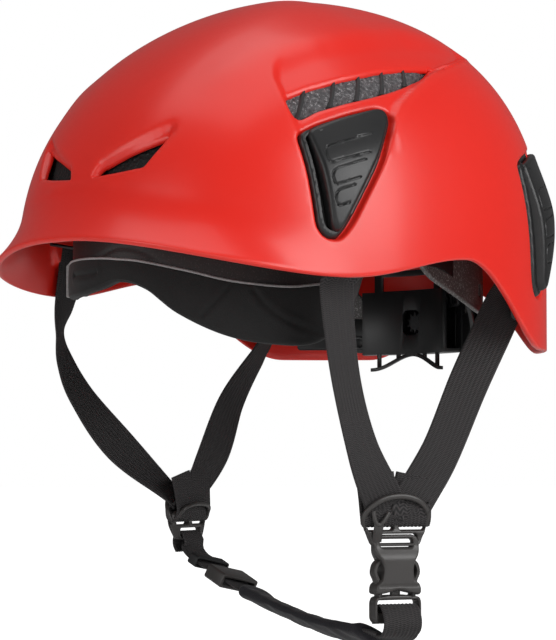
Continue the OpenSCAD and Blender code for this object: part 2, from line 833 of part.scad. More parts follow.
// Path of the chin strap: through the tongue's slot, under the chin, to the far divider.
chin_lay = [0, 1, -0.22];
chin_path = [
    [cheek_point([4.6, 0, buckle_z - 9.7]), cheek_across],
    [cheek_point([-3, 0, buckle_z - 9.7]), cheek_across],
    [cheek_point([-6.6, 0, buckle_z - 11.6]), cheek_across],
    [cheek_point([-7.8, 0, buckle_z - 15.2]), [0.2, 1, -0.1]],
    [[64, 0, -166], chin_lay],
    [[50, 0, -166.8], chin_lay],
    [[31, 0, -165.4], chin_lay],
    [[10, 0, -161.4], chin_lay],
    [[-10, 0, -156.2], chin_lay],
    [[-26, 0, -151], chin_lay]
];
// The straight stretch that the strap slider runs on
run_start = [-26, 0, -151];
run_end = [-66, 0, -133.5];
run_dir = unit(run_end - run_start);
far_slot = [-73, 0, -128.6];

module chin_strap() {
    color("black") webbing(concat(chin_path, [
        [run_start + run_dir * 4, chin_lay], [run_end, chin_lay], [far_slot, [-0.34, 0.94, 0]]
    ]));
}

// Padded sleeve; a flat channel through it clears the strap.
module chin_pad() {
    pad = [for (i = [4:9]) chin_path[i]];
    lead_in = pad[0][0] - 3 * unit(pad[1][0] - pad[0][0]);
    lead_out = pad[5][0] - 3 * unit(pad[4][0] - pad[5][0]);
    color("black") resize([0, 0, 0]) difference() {
        webbing(pad, 25, 7);
        webbing(concat([[lead_in, chin_lay]], pad, [[lead_out, chin_lay]]), 21.4, 3);
    }
}

// Moves children to a place on the straight run: X along the strap, Y across.
module on_run(distance) {
    at = run_start + run_dir * distance;
    across = unit(chin_lay - run_dir * (chin_lay * run_dir));
    face = cross(run_dir, across);
    multmatrix([
        [run_dir[0], across[0], face[0], at[0]],
        [run_dir[1], across[1], face[1], at[1]],
        [run_dir[2], across[2], face[2], at[2]],
        [0, 0, 0, 1]
    ]) children();
}

module strap_loop(length, wall) {
    rotate([90, 0, 90]) translate([0, 0, -length / 2]) linear_extrude(length) difference() {
        rounded(web_w + 2 + 2 * wall, web_t + 2.2 + 2 * wall, 1.4);
        square([web_w + 2, web_t + 2.2], center = true);
    }
}

module strap_slider() {
    color("dimgray") on_run(17) strap_loop(13, 1.8);
}

module strap_keeper() {
    color("black") on_run(36) strap_loop(6, 1);
}

// ---------------------------------------------------------------- build

shell();
foam_liner();
crown_pad();
vent_grille();  // vent_grille_left
mirrored_x(true) vent_grille();  // vent_grille_right
clip_base(FRONT);  // clip_base_front_left
mirrored_x(true) clip_base(FRONT);  // clip_base_front_right
clip_base(REAR);  // clip_base_rear_left
mirrored_x(true) clip_base(REAR);  // clip_base_rear_right
headlamp_clip(FRONT);  // headlamp_clip_front_left
mirrored_x(true) headlamp_clip(FRONT);  // headlamp_clip_front_right
headlamp_clip(REAR);  // headlamp_clip_rear_left
mirrored_x(true) headlamp_clip(REAR);  // headlamp_clip_rear_right
headband();
forehead_pad();
cradle_pivot();  // cradle_pivot_left
mirrored_x(true) cradle_pivot();  // cradle_pivot_right
rear_cradle();
ratchet_band_left();
ratchet_band_right();
adjuster_cover();
adjuster_wheel();
headband_hanger(front_hanger);  // headband_hanger_front_left
mirrored_x(true) headband_hanger(front_hanger);  // headband_hanger_front_right
headband_hanger(side_hanger);  // headband_hanger_side_left
mirrored_x(true) headband_hanger(side_hanger);  // headband_hanger_side_right
strap_anchor(front_anchor);  // strap_anchor_front_left
mirrored_x(true) strap_anchor(front_anchor);  // strap_anchor_front_right
strap_anchor(rear_anchor);  // strap_anchor_rear_left
mirrored_x(true) strap_anchor(rear_anchor);  // strap_anchor_rear_right
strap_front();  // strap_front_left
mirrored_x(true) strap_front();  // strap_front_right
strap_rear();  // strap_rear_left
mirrored_x(true) strap_rear();  // strap_rear_right
strap_divider();  // strap_divider_left
mirrored_x(true) strap_divider();  // strap_divider_right
buckle_socket();
buckle_tongue();
tongue_prong(-1);  // tongue_prong_front
tongue_prong(1);  // tongue_prong_rear
chin_strap();
chin_pad();
strap_slider();
strap_keeper();
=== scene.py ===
"""Looks for the climbing helmet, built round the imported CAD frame.

Shape code works in millimetres in the row frame: +Z up, the front faces -Y and
the wearer's left is +X. add_piece() turns millimetres into metres.
"""

import math

import bmesh
import bpy
import numpy as np
from mathutils import Matrix, Vector


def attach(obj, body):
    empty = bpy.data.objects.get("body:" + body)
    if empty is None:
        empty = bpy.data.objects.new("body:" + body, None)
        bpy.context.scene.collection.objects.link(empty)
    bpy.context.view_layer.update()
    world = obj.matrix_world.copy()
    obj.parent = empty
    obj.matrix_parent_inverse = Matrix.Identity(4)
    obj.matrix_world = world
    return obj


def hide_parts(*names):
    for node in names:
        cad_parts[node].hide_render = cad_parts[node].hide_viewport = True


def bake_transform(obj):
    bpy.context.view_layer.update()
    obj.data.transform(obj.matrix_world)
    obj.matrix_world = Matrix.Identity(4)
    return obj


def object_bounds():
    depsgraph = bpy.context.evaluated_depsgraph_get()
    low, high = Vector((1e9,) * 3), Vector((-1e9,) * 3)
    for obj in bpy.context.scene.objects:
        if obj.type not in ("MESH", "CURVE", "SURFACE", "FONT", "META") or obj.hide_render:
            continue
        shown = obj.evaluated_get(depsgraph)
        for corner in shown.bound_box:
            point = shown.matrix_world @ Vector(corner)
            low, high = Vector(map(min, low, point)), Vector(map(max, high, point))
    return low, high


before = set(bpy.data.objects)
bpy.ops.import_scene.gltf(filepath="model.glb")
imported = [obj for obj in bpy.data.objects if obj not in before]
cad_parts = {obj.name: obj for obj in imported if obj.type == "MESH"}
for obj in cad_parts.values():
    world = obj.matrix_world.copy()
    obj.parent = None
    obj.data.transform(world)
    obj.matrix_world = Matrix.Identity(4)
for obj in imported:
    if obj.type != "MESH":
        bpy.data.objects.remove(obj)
cad_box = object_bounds()
MM = 0.001
UP = np.array([0, 0, 1.0])
random = np.random.default_rng(11)


# ------------------------------------------------------------------ numbers

def smooth(a, b, x):
    t = np.clip((x - a) / (b - a), 0, 1)
    return t * t * (3 - 2 * t)


def unit(v):
    v = np.asarray(v, float)
    return v / np.maximum(np.linalg.norm(v, axis=-1, keepdims=True), 1e-9)


def angles(count):
    return np.linspace(0, 2 * math.pi, count, endpoint=False)


def squared(x, power):
    """Power curve that keeps the sign; below 1 it turns a circle into a rounded box."""
    return np.sign(x) * abs(x) ** power


def polygon_distance(points, polygon):
    """Signed distance to a closed polygon, negative inside."""
    polygon = np.asarray(polygon, float)
    best = np.full(len(points), 1e9)
    inside = np.zeros(len(points), bool)
    x, y = points[:, 0], points[:, 1]
    for (x0, y0), (x1, y1) in zip(polygon, np.roll(polygon, -1, axis=0)):
        ex, ey = x1 - x0, y1 - y0
        t = np.clip(((x - x0) * ex + (y - y0) * ey) / (ex * ex + ey * ey), 0, 1)
        best = np.minimum(best, np.hypot(x - x0 - t * ex, y - y0 - t * ey))
        if y0 != y1:
            crosses = (y0 > y) != (y1 > y)
            inside ^= crosses & (x < ex * (y - y0) / ey + x0)
    return np.where(inside, -best, best)


def path_distance(points, path):
    best = np.full(len(points), 1e9)
    for (x0, y0), (x1, y1) in zip(path[:-1], path[1:]):
        ex, ey = x1 - x0, y1 - y0
        t = np.clip(((points[:, 0] - x0) * ex + (points[:, 1] - y0) * ey) / (ex * ex + ey * ey), 0, 1)
        best = np.minimum(best, np.hypot(points[:, 0] - x0 - t * ex, points[:, 1] - y0 - t * ey))
    return best


def rounded(polygon, radius, steps=5, closed=True):
    """Polygon with its corners replaced by short curves."""
    polygon = [np.array(p, float) for p in polygon]
    out = []
    count = len(polygon)
    for i, corner in enumerate(polygon):
        if not closed and i in (0, count - 1):
            out.append(corner)
            continue
        before, after = polygon[i - 1], polygon[(i + 1) % count]
        reach_a = min(radius, 0.45 * np.linalg.norm(before - corner))
        reach_b = min(radius, 0.45 * np.linalg.norm(after - corner))
        a = corner + unit(before - corner) * reach_a
        b = corner + unit(after - corner) * reach_b
        for k in range(steps + 1):
            t = k / steps
            out.append((1 - t) ** 2 * a + 2 * t * (1 - t) * corner + t * t * b)
    return np.array(out)


def rounded_box(points, centre, half, radius):
    q = np.abs(points - np.array(centre)) - np.array(half) + radius
    outside = np.linalg.norm(np.maximum(q, 0), axis=1)
    return outside + np.minimum(q.max(axis=1), 0) - radius


# ------------------------------------------------------------------ sheets

def grid_sheet(x0, x1, y0, y1, step):
    nx, ny = int(round((x1 - x0) / step)) + 1, int(round((y1 - y0) / step)) + 1
    xs, ys = np.linspace(x0, x1, nx), np.linspace(y0, y1, ny)
    par = np.stack(np.meshgrid(xs, ys, indexing="ij"), -1).reshape(-1, 2)
    i, j = np.meshgrid(np.arange(nx - 1), np.arange(ny - 1), indexing="ij")
    a = (i * ny + j).ravel()
    b, c, d = a + ny, a + ny + 1, a + 1
    return par, np.concatenate([np.stack([a, b, c], 1), np.stack([a, c, d], 1)])


def polar_sheet(turns, rings):
    """Disc of points (t cos, t sin) with rings at the given t, for a dome."""
    angle = np.arange(turns) * 2 * math.pi / turns
    ring = [np.stack([t * np.cos(angle), t * np.sin(angle)], 1) for t in rings]
    par = np.concatenate([[[0.0, 0.0]]] + ring)
    k = np.arange(turns)
    nxt = (k + 1) % turns
    tris = [np.stack([np.zeros(turns, int), 1 + k, 1 + nxt], 1)]
    for j in range(len(rings) - 1):
        a, b = 1 + j * turns, 1 + (j + 1) * turns
        tris.append(np.stack([a + k, b + k, b + nxt], 1))
        tris.append(np.stack([a + k, b + nxt, a + nxt], 1))
    return par, np.concatenate(tris)


def split_at(par, tris, field, level=0.0, snap=0.05):
    """Cuts every triangle along field == level, so that line becomes edges."""
    value = field(par) - level
    value[np.abs(value) < snap] = 0
    n = len(par)
    edges = tris[:, [[0, 1], [1, 2], [2, 0]]]
    low, high = edges.min(-1), edges.max(-1)
    cross = value[low] * value[high] < 0
    if not cross.any():
        return par, tris
    keys, inverse = np.unique((low * n + high)[cross], return_inverse=True)
    a, b = keys // n, keys % n
    va, vb = value[a], value[b]
    t = va / (va - vb)
    v1 = field(par[a] + (par[b] - par[a]) * t[:, None]) - level
    same = v1 * va > 0
    span = np.where(same, v1 - vb, va - v1)
    span = np.where(np.abs(span) < 1e-9, 1e-9, span)
    t = np.where(same, t + (1 - t) * v1 / span, t * va / span)
    t = np.clip(t, 0.02, 0.98)
    par = np.concatenate([par, par[a] + (par[b] - par[a]) * t[:, None]])
    middle = np.full(cross.shape, -1)
    middle[cross] = n + inverse.ravel()
    count = cross.sum(1)
    out = [tris[count == 0]]
    rows = np.nonzero(count == 1)[0]
    i = cross[rows].argmax(1)
    p, q, r = (tris[rows, (i + k) % 3] for k in range(3))
    m = middle[rows, i]
    out += [np.stack([p, m, r], 1), np.stack([m, q, r], 1)]
    rows = np.nonzero(count == 2)[0]
    i = ((~cross[rows]).argmax(1) + 2) % 3
    p, q, r = (tris[rows, (i + k) % 3] for k in range(3))
    m, w = middle[rows, i], middle[rows, (i + 2) % 3]
    out += [np.stack([p, m, w], 1), np.stack([m, q, r], 1), np.stack([m, r, w], 1)]
    return par, np.concatenate(out)


def keep_where(par, tris, field):
    """Keeps the triangles whose middle has field < 0."""
    return par, tris[field(par[tris].mean(1)) < 0]


def vertex_normals(points, tris):
    p = points[tris]
    face = np.cross(p[:, 1] - p[:, 0], p[:, 2] - p[:, 0])
    out = np.zeros_like(points)
    for k in range(3):
        np.add.at(out, tris[:, k], face)
    return unit(out)


def solid(par, tris, outer, inner, lip=1.0, steps=4):
    """Closed mesh between two skins of one sheet, with a rounded rim."""
    used, flat = np.unique(tris, return_inverse=True)
    tris = flat.reshape(-1, 3)
    par = par[used]
    top, bottom = outer(par), inner(par)
    n = len(par)
    edges = np.concatenate([tris[:, [0, 1]], tris[:, [1, 2]], tris[:, [2, 0]]])
    border = edges[~np.isin(edges[:, 0] * n + edges[:, 1], edges[:, 1] * n + edges[:, 0])]
    normal = vertex_normals(top, tris)
    along = top[border[:, 1]] - top[border[:, 0]]
    away = unit(np.cross(along, normal[border[:, 0]] + normal[border[:, 1]]))
    bulge = np.zeros_like(top)
    np.add.at(bulge, border[:, 0], away)
    np.add.at(bulge, border[:, 1], away)
    rim = np.unique(border)
    bulge = unit(bulge[rim])
    place = np.full(n, -1)
    place[rim] = np.arange(len(rim))
    points = [top, bottom]
    rows = [border]
    for k in range(1, steps):
        turn = math.pi * k / steps
        across = (bottom[rim] - top[rim]) * (1 - math.cos(turn)) / 2
        points.append(top[rim] + across + bulge * lip * math.sin(turn))
        rows.append(2 * n + (k - 1) * len(rim) + place[border])
    rows.append(border + n)
    faces = tris.tolist() + (tris[:, ::-1] + n).tolist()
    for a, b in zip(rows[:-1], rows[1:]):
        faces += np.stack([a[:, 1], a[:, 0], b[:, 0], b[:, 1]], 1).tolist()
    return np.concatenate(points), faces


def loft(loops):
    """Closed tube through equal loops of points, with flat ends."""
    loops = np.asarray(loops, float)
    n, k = loops.shape[:2]
    c = np.arange(k)
    faces = []
    for i in range(n - 1):
        a, b = i * k + c, (i + 1) * k + c
        faces += np.stack([a, np.roll(a, -1), np.roll(b, -1), b], 1).tolist()
    faces.append(c[::-1].tolist())
    faces.append(((n - 1) * k + c).tolist())
    return loops.reshape(-1, 3), faces


def joined(*parts):
    points, faces, start = [], [], 0
    for p, f in parts:
        points.append(p)
        faces += [[i + start for i in face] for face in f]
        start += len(p)
    return np.concatenate(points), faces


def mirrored(part):
    points, faces = part
    return points * [-1, 1, 1], [face[::-1] for face in faces]


def resample(stations, count):
    """Smooth curve through rows of numbers, evenly spaced along its first three."""
    s = np.asarray(stations, float)
    gap = np.concatenate([[0], np.cumsum(np.linalg.norm(np.diff(s[:, :3], axis=0), axis=1))])
    ends = np.concatenate([2 * s[:1] - s[1:2], s, 2 * s[-1:] - s[-2:-1]])
    fine = []
    for i in range(len(s) - 1):
        p0, p1, p2, p3 = ends[i : i + 4]
        for t in np.linspace(0, 1, 24, endpoint=False):
            fine.append(
                0.5 * (2 * p1 + (p2 - p0) * t + (2 * p0 - 5 * p1 + 4 * p2 - p3) * t * t
                       + (3 * p1 - p0 - 3 * p2 + p3) * t ** 3)
            )
    fine = np.array(fine + [s[-1]])
    run = np.concatenate([[0], np.cumsum(np.linalg.norm(np.diff(fine[:, :3], axis=0), axis=1))])
    want = np.linspace(0, run[-1], count)
    return np.stack([np.interp(want, run, fine[:, k]) for k in range(s.shape[1])], 1), run[-1]


# ------------------------------------------------------------------ pieces

def add_piece(name, part, material, body="root", replaces=(), sharp=40, uv=None):
    points, faces = part
    mesh = bpy.data.meshes.new(name)
    mesh.from_pydata((np.asarray(points) * MM).tolist(), [], faces)
    mesh.validate()
    mesh.update()
    if uv is not None:
        layer = mesh.uv_layers.new(name="UVMap")
        loop_vertex = np.zeros(len(mesh.loops), int)
        mesh.loops.foreach_get("vertex_index", loop_vertex)
        layer.data.foreach_set("uv", np.asarray(uv)[loop_vertex].astype(np.float32).ravel())
    mesh.shade_smooth()
    mesh.set_sharp_from_angle(angle=math.radians(sharp))
    piece = bpy.data.objects.new(name, mesh)
    bpy.context.scene.collection.objects.link(piece)
    mesh.materials.append(material)
    if body:
        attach(piece, body)
    if replaces:
        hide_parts(*([replaces] if isinstance(replaces, str) else replaces))
    return piece


def add_pair(name, part, material, body, node, sharp=50):
    """A left piece and its mirror image, each in place of its own CAD node."""
    for side, shape in (("left", part), ("right", mirrored(part))):
        add_piece(f"{name}_{side}", shape, material, body, f"{node}_{side}" if node else (), sharp)


def softened_copy(node, name, material, body, slot, width=0.5, segments=2, angle=35):
    """The CAD node's own solid with its edges rounded off."""
    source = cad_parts[node]
    mesh = source.data.copy()
    mesh.name = name
    work = bmesh.new()
    work.from_mesh(mesh)
    bmesh.ops.remove_doubles(work, verts=work.verts, dist=2e-6)
    bmesh.ops.dissolve_limit(work, angle_limit=math.radians(2), verts=work.verts, edges=work.edges)
    work.to_mesh(mesh)
    work.free()
    mesh.materials.clear()
    mesh.materials.append(material)
    mesh.shade_smooth()
    piece = bpy.data.objects.new(name, mesh)
    bpy.context.scene.collection.objects.link(piece)
    bevel = piece.modifiers.new("bevel", "BEVEL")
    bevel.width = width * MM
    bevel.segments = segments
    bevel.limit_method = "ANGLE"
    bevel.angle_limit = math.radians(angle)
    bevel.harden_normals = False
    bpy.context.view_layer.update()
    final = bpy.data.meshes.new_from_object(piece.evaluated_get(bpy.context.evaluated_depsgraph_get()))
    piece.modifiers.clear()
    piece.data = final
    final.shade_smooth()
    final.set_sharp_from_angle(angle=math.radians(angle))
    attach(piece, body)
    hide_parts(node)
    return piece


CLOTH_PRESSURE, CLOTH_STIFFNESS, CLOTH_FRAMES = 3.0, 15.0, 20


def inflate(piece, cap):
    """Short cloth simulation that swells a closed mesh; no point moves past cap."""
    rest = np.array([v.co for v in piece.data.vertices])
    cloth = piece.modifiers.new("cloth", "CLOTH")
    cloth.settings.use_pressure = True
    cloth.settings.uniform_pressure_force = CLOTH_PRESSURE
    cloth.settings.effector_weights.gravity = 0
    cloth.settings.tension_stiffness = CLOTH_STIFFNESS
    cloth.settings.compression_stiffness = CLOTH_STIFFNESS
    cloth.settings.quality = 5
    scene = bpy.context.scene
    for step in range(1, CLOTH_FRAMES + 1):
        scene.frame_set(step)
    swollen = piece.evaluated_get(bpy.context.evaluated_depsgraph_get()).to_mesh()
    moved = np.array([v.co for v in swollen.vertices]) - rest
    size = np.linalg.norm(moved, axis=1, keepdims=True)
    moved *= np.minimum(1, cap * MM / np.maximum(size, 1e-9))
    piece.evaluated_get(bpy.context.evaluated_depsgraph_get()).to_mesh_clear()
    piece.modifiers.clear()
    scene.frame_set(1)
    piece.data.vertices.foreach_set("co", (rest + moved).astype(np.float32).ravel())
    piece.data.update()


# ------------------------------------------------------------------ materials

BLACK, WHITE = (0, 0, 0), (1, 1, 1)


class Nodes:
    """Small helper that wires one procedural material."""

    def __init__(self, name):
        self.material = bpy.data.materials.new(name)
        self.material.use_nodes = True
        self.tree = self.material.node_tree
        self.shader = self.tree.nodes["Principled BSDF"]

    def add(self, kind, **values):
        node = self.tree.nodes.new(kind)
        for key, value in values.items():
            if key in node.inputs:
                node.inputs[key].default_value = value
            else:
                setattr(node, key, value)
        return node

    def link(self, a, b):
        self.tree.links.new(a, b)

    def noise(self, scale, detail=3.0, source=None, roughness=0.5):
        node = self.add("ShaderNodeTexNoise", Scale=scale, Detail=detail, Roughness=roughness)
        self.link(source or self.where(), node.inputs["Vector"])
        return node.outputs["Fac"]

    def where(self):
        return self.add("ShaderNodeTexCoord").outputs["Object"]

    def ramp(self, factor, stops):
        node = self.add("ShaderNodeValToRGB")
        ramp = node.color_ramp
        while len(ramp.elements) < len(stops):
            ramp.elements.new(0.5)
        for element, (position, colour) in zip(ramp.elements, stops):
            element.position = position
            element.color = (*colour, 1) if len(colour) == 3 else colour
        self.link(factor, node.inputs["Fac"])
        return node.outputs["Color"]

    def scaled(self, factor, low, high):
        node = self.add("ShaderNodeMapRange")
        node.inputs["To Min"].default_value = low
        node.inputs["To Max"].default_value = high
        self.link(factor, node.inputs["Value"])
        return node.outputs["Result"]

    def math(self, operation, a, b=0.0):
        node = self.add("ShaderNodeMath", operation=operation)
        for value, slot in ((a, node.inputs[0]), (b, node.inputs[1])):
            if isinstance(value, (int, float)):
                slot.default_value = value
            else:
                self.link(value, slot)
        return node.outputs[0]

    def bump(self, height, strength, distance):
        node = self.add("ShaderNodeBump", Strength=strength, Distance=distance)
        self.link(height, node.inputs["Height"])
        if self.shader.inputs["Normal"].is_linked:
            self.link(self.shader.inputs["Normal"].links[0].from_socket, node.inputs["Normal"])
        self.link(node.outputs["Normal"], self.shader.inputs["Normal"])

    def worn_and_highlit_edges(self, amount=0.12):
        """Pointed edges come out lighter: partly wear, partly painted highlight."""
        point = self.add("ShaderNodeNewGeometry").outputs["Pointiness"]
        return self.scaled(self.ramp(point, [(0.50, BLACK), (0.60, WHITE)]), 0, amount)

    def set(self, name, value):
        self.shader.inputs[name].default_value = value


def mixed(n, base, tint, factor):
    node = n.add("ShaderNodeMix", data_type="RGBA")
    for socket, value in (("A", base), ("B", tint)):
        target = [s for s in node.inputs if s.name == socket and s.type == "RGBA"][0]
        if isinstance(value, tuple):
            target.default_value = (*value, 1)
        else:
            n.link(value, target)
    n.link(factor, node.inputs["Factor"])
    return [s for s in node.outputs if s.type == "RGBA"][0]


def moulded(name, dark, light, roughness, grain=900.0, bump=0.05, worn_highlit_edge_amount=0.1, coat=0.0, broad=18.0):
    """Moulded plastic: broad and fine colour change, fine grain, paler edges from wear and painted
    highlight.
    """
    n = Nodes(name)
    cloud = n.noise(broad, 2.0)
    fleck = n.noise(grain, 2.0)
    colour = mixed(n, dark, light, cloud)
    # Pointed edges turn paler: wear and painted highlight
    colour = mixed(n, colour, tuple(min(1.0, c * 2.2 + 0.03) for c in light), n.worn_and_highlit_edges(worn_highlit_edge_amount))
    n.link(colour, n.shader.inputs["Base Color"])
    n.link(n.scaled(fleck, roughness - 0.07, roughness + 0.08), n.shader.inputs["Roughness"])
    n.bump(fleck, bump, 0.0003)
    n.set("Coat Weight", coat)
    n.set("Coat Roughness", 0.12)
    return n.material


def red_gloss():
    n = Nodes("red_gloss_shell")
    cloud = n.noise(9.0, 2.0)
    colour = mixed(n, (0.74, 0.014, 0.007), (0.82, 0.020, 0.010), cloud)
    # Pointed edges turn paler orange: wear and painted highlight
    colour = mixed(n, colour, (0.80, 0.10, 0.07), n.worn_and_highlit_edges(0.25))
    n.link(colour, n.shader.inputs["Base Color"])
    orange_peel = n.noise(140.0, 2.0)
    scuffs = n.noise(420.0, 6.0, roughness=0.7)
    n.link(n.scaled(scuffs, 0.26, 0.40), n.shader.inputs["Roughness"])
    n.bump(orange_peel, 0.02, 0.0006)
    n.set("Coat Weight", 0.12)
    n.set("Coat Roughness", 0.16)
    return n.material


def speckled(name, base, fleck_colour, roughness=0.55, scale=1400.0, amount=0.62):
    """Dark moulded sheet with pale flecks, as on recycled or heather plastic."""
    n = Nodes(name)
    fleck = n.ramp(n.noise(scale, 2.0), [(amount, BLACK), (amount + 0.08, WHITE)])
    cloud = n.noise(24.0, 2.0)
    colour = mixed(n, base, tuple(c * 1.7 for c in base), cloud)
    colour = mixed(n, colour, fleck_colour, fleck)
    # Pointed edges take the pale fleck colour: wear and painted highlight
    colour = mixed(n, colour, fleck_colour, n.worn_and_highlit_edges(0.3))
    n.link(colour, n.shader.inputs["Base Color"])
    n.set("Roughness", roughness)
    n.bump(n.noise(scale * 0.8, 2.0), 0.12, 0.0003)
    return n.material


def webbing_cloth(name, dark, light):
    """Ribbed polyester webbing: twill across the ribs, from the strap's own UV."""
    n = Nodes(name)
    uv = n.add("ShaderNodeUVMap", uv_map="UVMap").outputs["UV"]
    split = n.add("ShaderNodeSeparateXYZ")
    n.link(uv, split.inputs[0])
    along, across = split.outputs[0], split.outputs[1]
    zigzag = n.math("PINGPONG", n.math("MULTIPLY", across, 10.0), 1.0)
    pick = n.math("ADD", n.math("MULTIPLY", along, 1.15), n.math("MULTIPLY", zigzag, 0.8))
    thread = n.math("SINE", n.math("MULTIPLY", pick, 2 * math.pi))
    fine = n.noise(2600.0, 3.0)
    shade = n.math("ADD", n.math("MULTIPLY", thread, 0.35), fine)
    colour = n.ramp(n.scaled(shade, 0.0, 1.0), [(0.25, dark), (0.85, light)])
    n.link(colour, n.shader.inputs["Base Color"])
    n.link(n.scaled(fine, 0.62, 0.9), n.shader.inputs["Roughness"])
    n.bump(thread, 0.35, 0.00025)
    n.bump(fine, 0.25, 0.0002)
    n.set("Sheen Weight", 0.08)
    n.set("Sheen Roughness", 0.4)
    return n.material


def soft_cloth(name, dark, light, weave=2200.0, sheen=0.35, bump=0.35):
    """Brushed or knitted fabric over foam."""
    n = Nodes(name)
    voronoi = n.add("ShaderNodeTexVoronoi", Scale=weave)
    n.link(n.where(), voronoi.inputs["Vector"])
    fuzz = n.noise(weave * 0.6, 4.0)
    broad = n.noise(30.0, 3.0)
    shade = n.math("ADD", n.math("MULTIPLY", fuzz, 0.6), n.math("MULTIPLY", broad, 0.5))
    n.link(n.ramp(shade, [(0.3, dark), (0.8, light)]), n.shader.inputs["Base Color"])
    n.set("Roughness", 0.85)
    n.bump(voronoi.outputs["Distance"], bump, 0.0003)
    n.bump(fuzz, 0.3, 0.0003)
    n.set("Sheen Weight", sheen)
    return n.material


def bead_foam():
    """Expanded foam: grey beads with pale flecks between them, painted glints."""
    n = Nodes("bead_foam")
    beads = n.add("ShaderNodeTexVoronoi", Scale=520.0)
    n.link(n.where(), beads.inputs["Vector"])
    # Pale flecks are painted glints: painted highlight
    fleck = n.ramp(n.noise(620.0, 5.0, roughness=0.8), [(0.53, BLACK), (0.66, WHITE)])
    colour = mixed(n, (0.028, 0.024, 0.026), (0.10, 0.095, 0.10), beads.outputs["Distance"])
    colour = mixed(n, colour, (0.42, 0.40, 0.41), n.scaled(fleck, 0, 0.75))
    # Painted shade: towards the front the foam turns near-black, standing in for the shaded hollow behind
    # the front vents
    place = n.add("ShaderNodeSeparateXYZ")
    n.link(n.where(), place.inputs[0])
    shade = n.ramp(n.math("MULTIPLY", place.outputs[1], -10.0), [(0.84, BLACK), (1.0, WHITE)])
    colour = mixed(n, colour, (0.003, 0.003, 0.003), shade)
    n.link(colour, n.shader.inputs["Base Color"])
    n.link(n.scaled(fleck, 0.75, 0.35), n.shader.inputs["Roughness"])
    n.bump(beads.outputs["Distance"], 0.9, 0.0008)
    return n.material


def steel():
    n = Nodes("brushed_steel")
    n.set("Metallic", 1.0)
    scratch = n.noise(700.0, 5.0)
    n.link(mixed(n, (0.28, 0.28, 0.29), (0.55, 0.55, 0.56), scratch), n.shader.inputs["Base Color"])
    n.link(n.scaled(scratch, 0.25, 0.5), n.shader.inputs["Roughness"])
    return n.material


RED = red_gloss()
CLIP = moulded("clip_plastic", (0.005, 0.005, 0.0055), (0.010, 0.010, 0.0105), 0.36, 1500.0, 0.10, 0.03)
RIB = moulded("vent_rib_plastic", (0.006, 0.006, 0.007), (0.012, 0.012, 0.013), 0.55)
BAND = speckled("band_plastic", (0.008, 0.0055, 0.0055), (0.045, 0.034, 0.032), 0.5, 1500.0, 0.60)
CRADLE = moulded("cradle_plastic", (0.004, 0.004, 0.0045), (0.010, 0.010, 0.0105), 0.33, 900.0, 0.05, 0.05)
ARM = speckled("cradle_arm_plastic", (0.050, 0.045, 0.043), (0.26, 0.245, 0.24), 0.36, 1200.0, 0.56)
WHEEL = moulded("wheel_rubber", (0.007, 0.007, 0.0075), (0.014, 0.014, 0.015), 0.60, 1200.0, 0.12, 0.04)
BUCKLE = moulded("buckle_acetal", (0.028, 0.0255, 0.0245), (0.046, 0.042, 0.040), 0.36, 1300.0, 0.08, 0.14)
FOAM = bead_foam()
PAD = soft_cloth("pad_cloth", (0.0015, 0.0015, 0.0015), (0.007, 0.0065, 0.0065), sheen=0.08)
EDGE = soft_cloth("pad_edge_foam", (0.16, 0.15, 0.15), (0.40, 0.39, 0.39), 1600.0)
SLEEVE = soft_cloth("sleeve_knit", (0.003, 0.0028, 0.005), (0.012, 0.0105, 0.016), 1500.0, 0.12)
WEB = webbing_cloth("webbing", (0.004, 0.0035, 0.0038), (0.045, 0.040, 0.041))
STEEL = steel()


# ------------------------------------------------------------------ dome

HALF_W, FRONT_R, REAR_R, HEIGHT = 112.0, 138.0, 137.0, 146.0
BRIM_FLARE = 11.0
PLAN_N = 2.3
WALL = 3.0
KNEE = 0.78


def plan_r(phi, off):
    across = np.abs(np.cos(phi)) / (HALF_W + off)
    along = np.abs(np.sin(phi)) / (np.where(np.sin(phi) > 0, REAR_R, FRONT_R) + off)
    return (across ** PLAN_N + along ** PLAN_N) ** (-1 / PLAN_N)


def profile(phi):
    front = np.maximum(0, -np.sin(phi)) ** 2
    rear = np.maximum(0, np.sin(phi)) ** 2
    return 2.8 - 0.35 * front - 0.05 * rear, 1.7 - 0.15 * front + 0.8 * rear


def from_front(phi):
    a = (np.degrees(phi) + 450) % 360
    return np.minimum(a, 360 - a)


def edge_z(phi):
    a = from_front(phi)
    return (19 - 18.7 * smooth(2, 60, a) + 11.2 * smooth(60, 97, a)
            - 40 * smooth(97, 132, a) + 34.5 * smooth(153, 180, a))


def flare(phi, z):
    depth = np.clip((edge_z(phi) + 24 - z) / 24, 0, 1)
    return BRIM_FLARE * (1 - smooth(28, 66, from_front(phi))) * depth ** 2


def ratio_at(phi, z, h):
    p, q = profile(phi)
    return np.maximum(0, 1 - (np.clip(z, 0, h) / h) ** p) ** (1 / q)


def dome_at(phi, t, off, low=None):
    """Point at ring t, 0 at the crown and 1 at the edge, of the dome grown by off."""
    low = edge_z(phi) if low is None else low
    h = HEIGHT + off
    p, q = profile(phi)
    turn = np.maximum(low + 14, 3)
    a = np.arccos((turn / h) ** (p / 2)) * np.minimum(1, t / KNEE)
    upper = h * np.cos(a) ** (2 / p)
    lower = turn + (low - turn) * (t - KNEE) / (1 - KNEE)
    z = np.where(t < KNEE, upper, lower)
    ratio = np.where(t < KNEE, np.sin(a) ** (2 / q), ratio_at(phi, z, h))
    r = plan_r(phi, off) * ratio + flare(phi, z)
    return np.stack([r * np.cos(phi), r * np.sin(phi), z], -1)


def beyond(points, off):
    """Above 0 where a point lies outside the dome grown by off."""
    phi = np.arctan2(points[:, 1], points[:, 0])
    h = HEIGHT + off
    return np.hypot(points[:, 0], points[:, 1]) - plan_r(phi, off) * ratio_at(phi, points[:, 2], h)


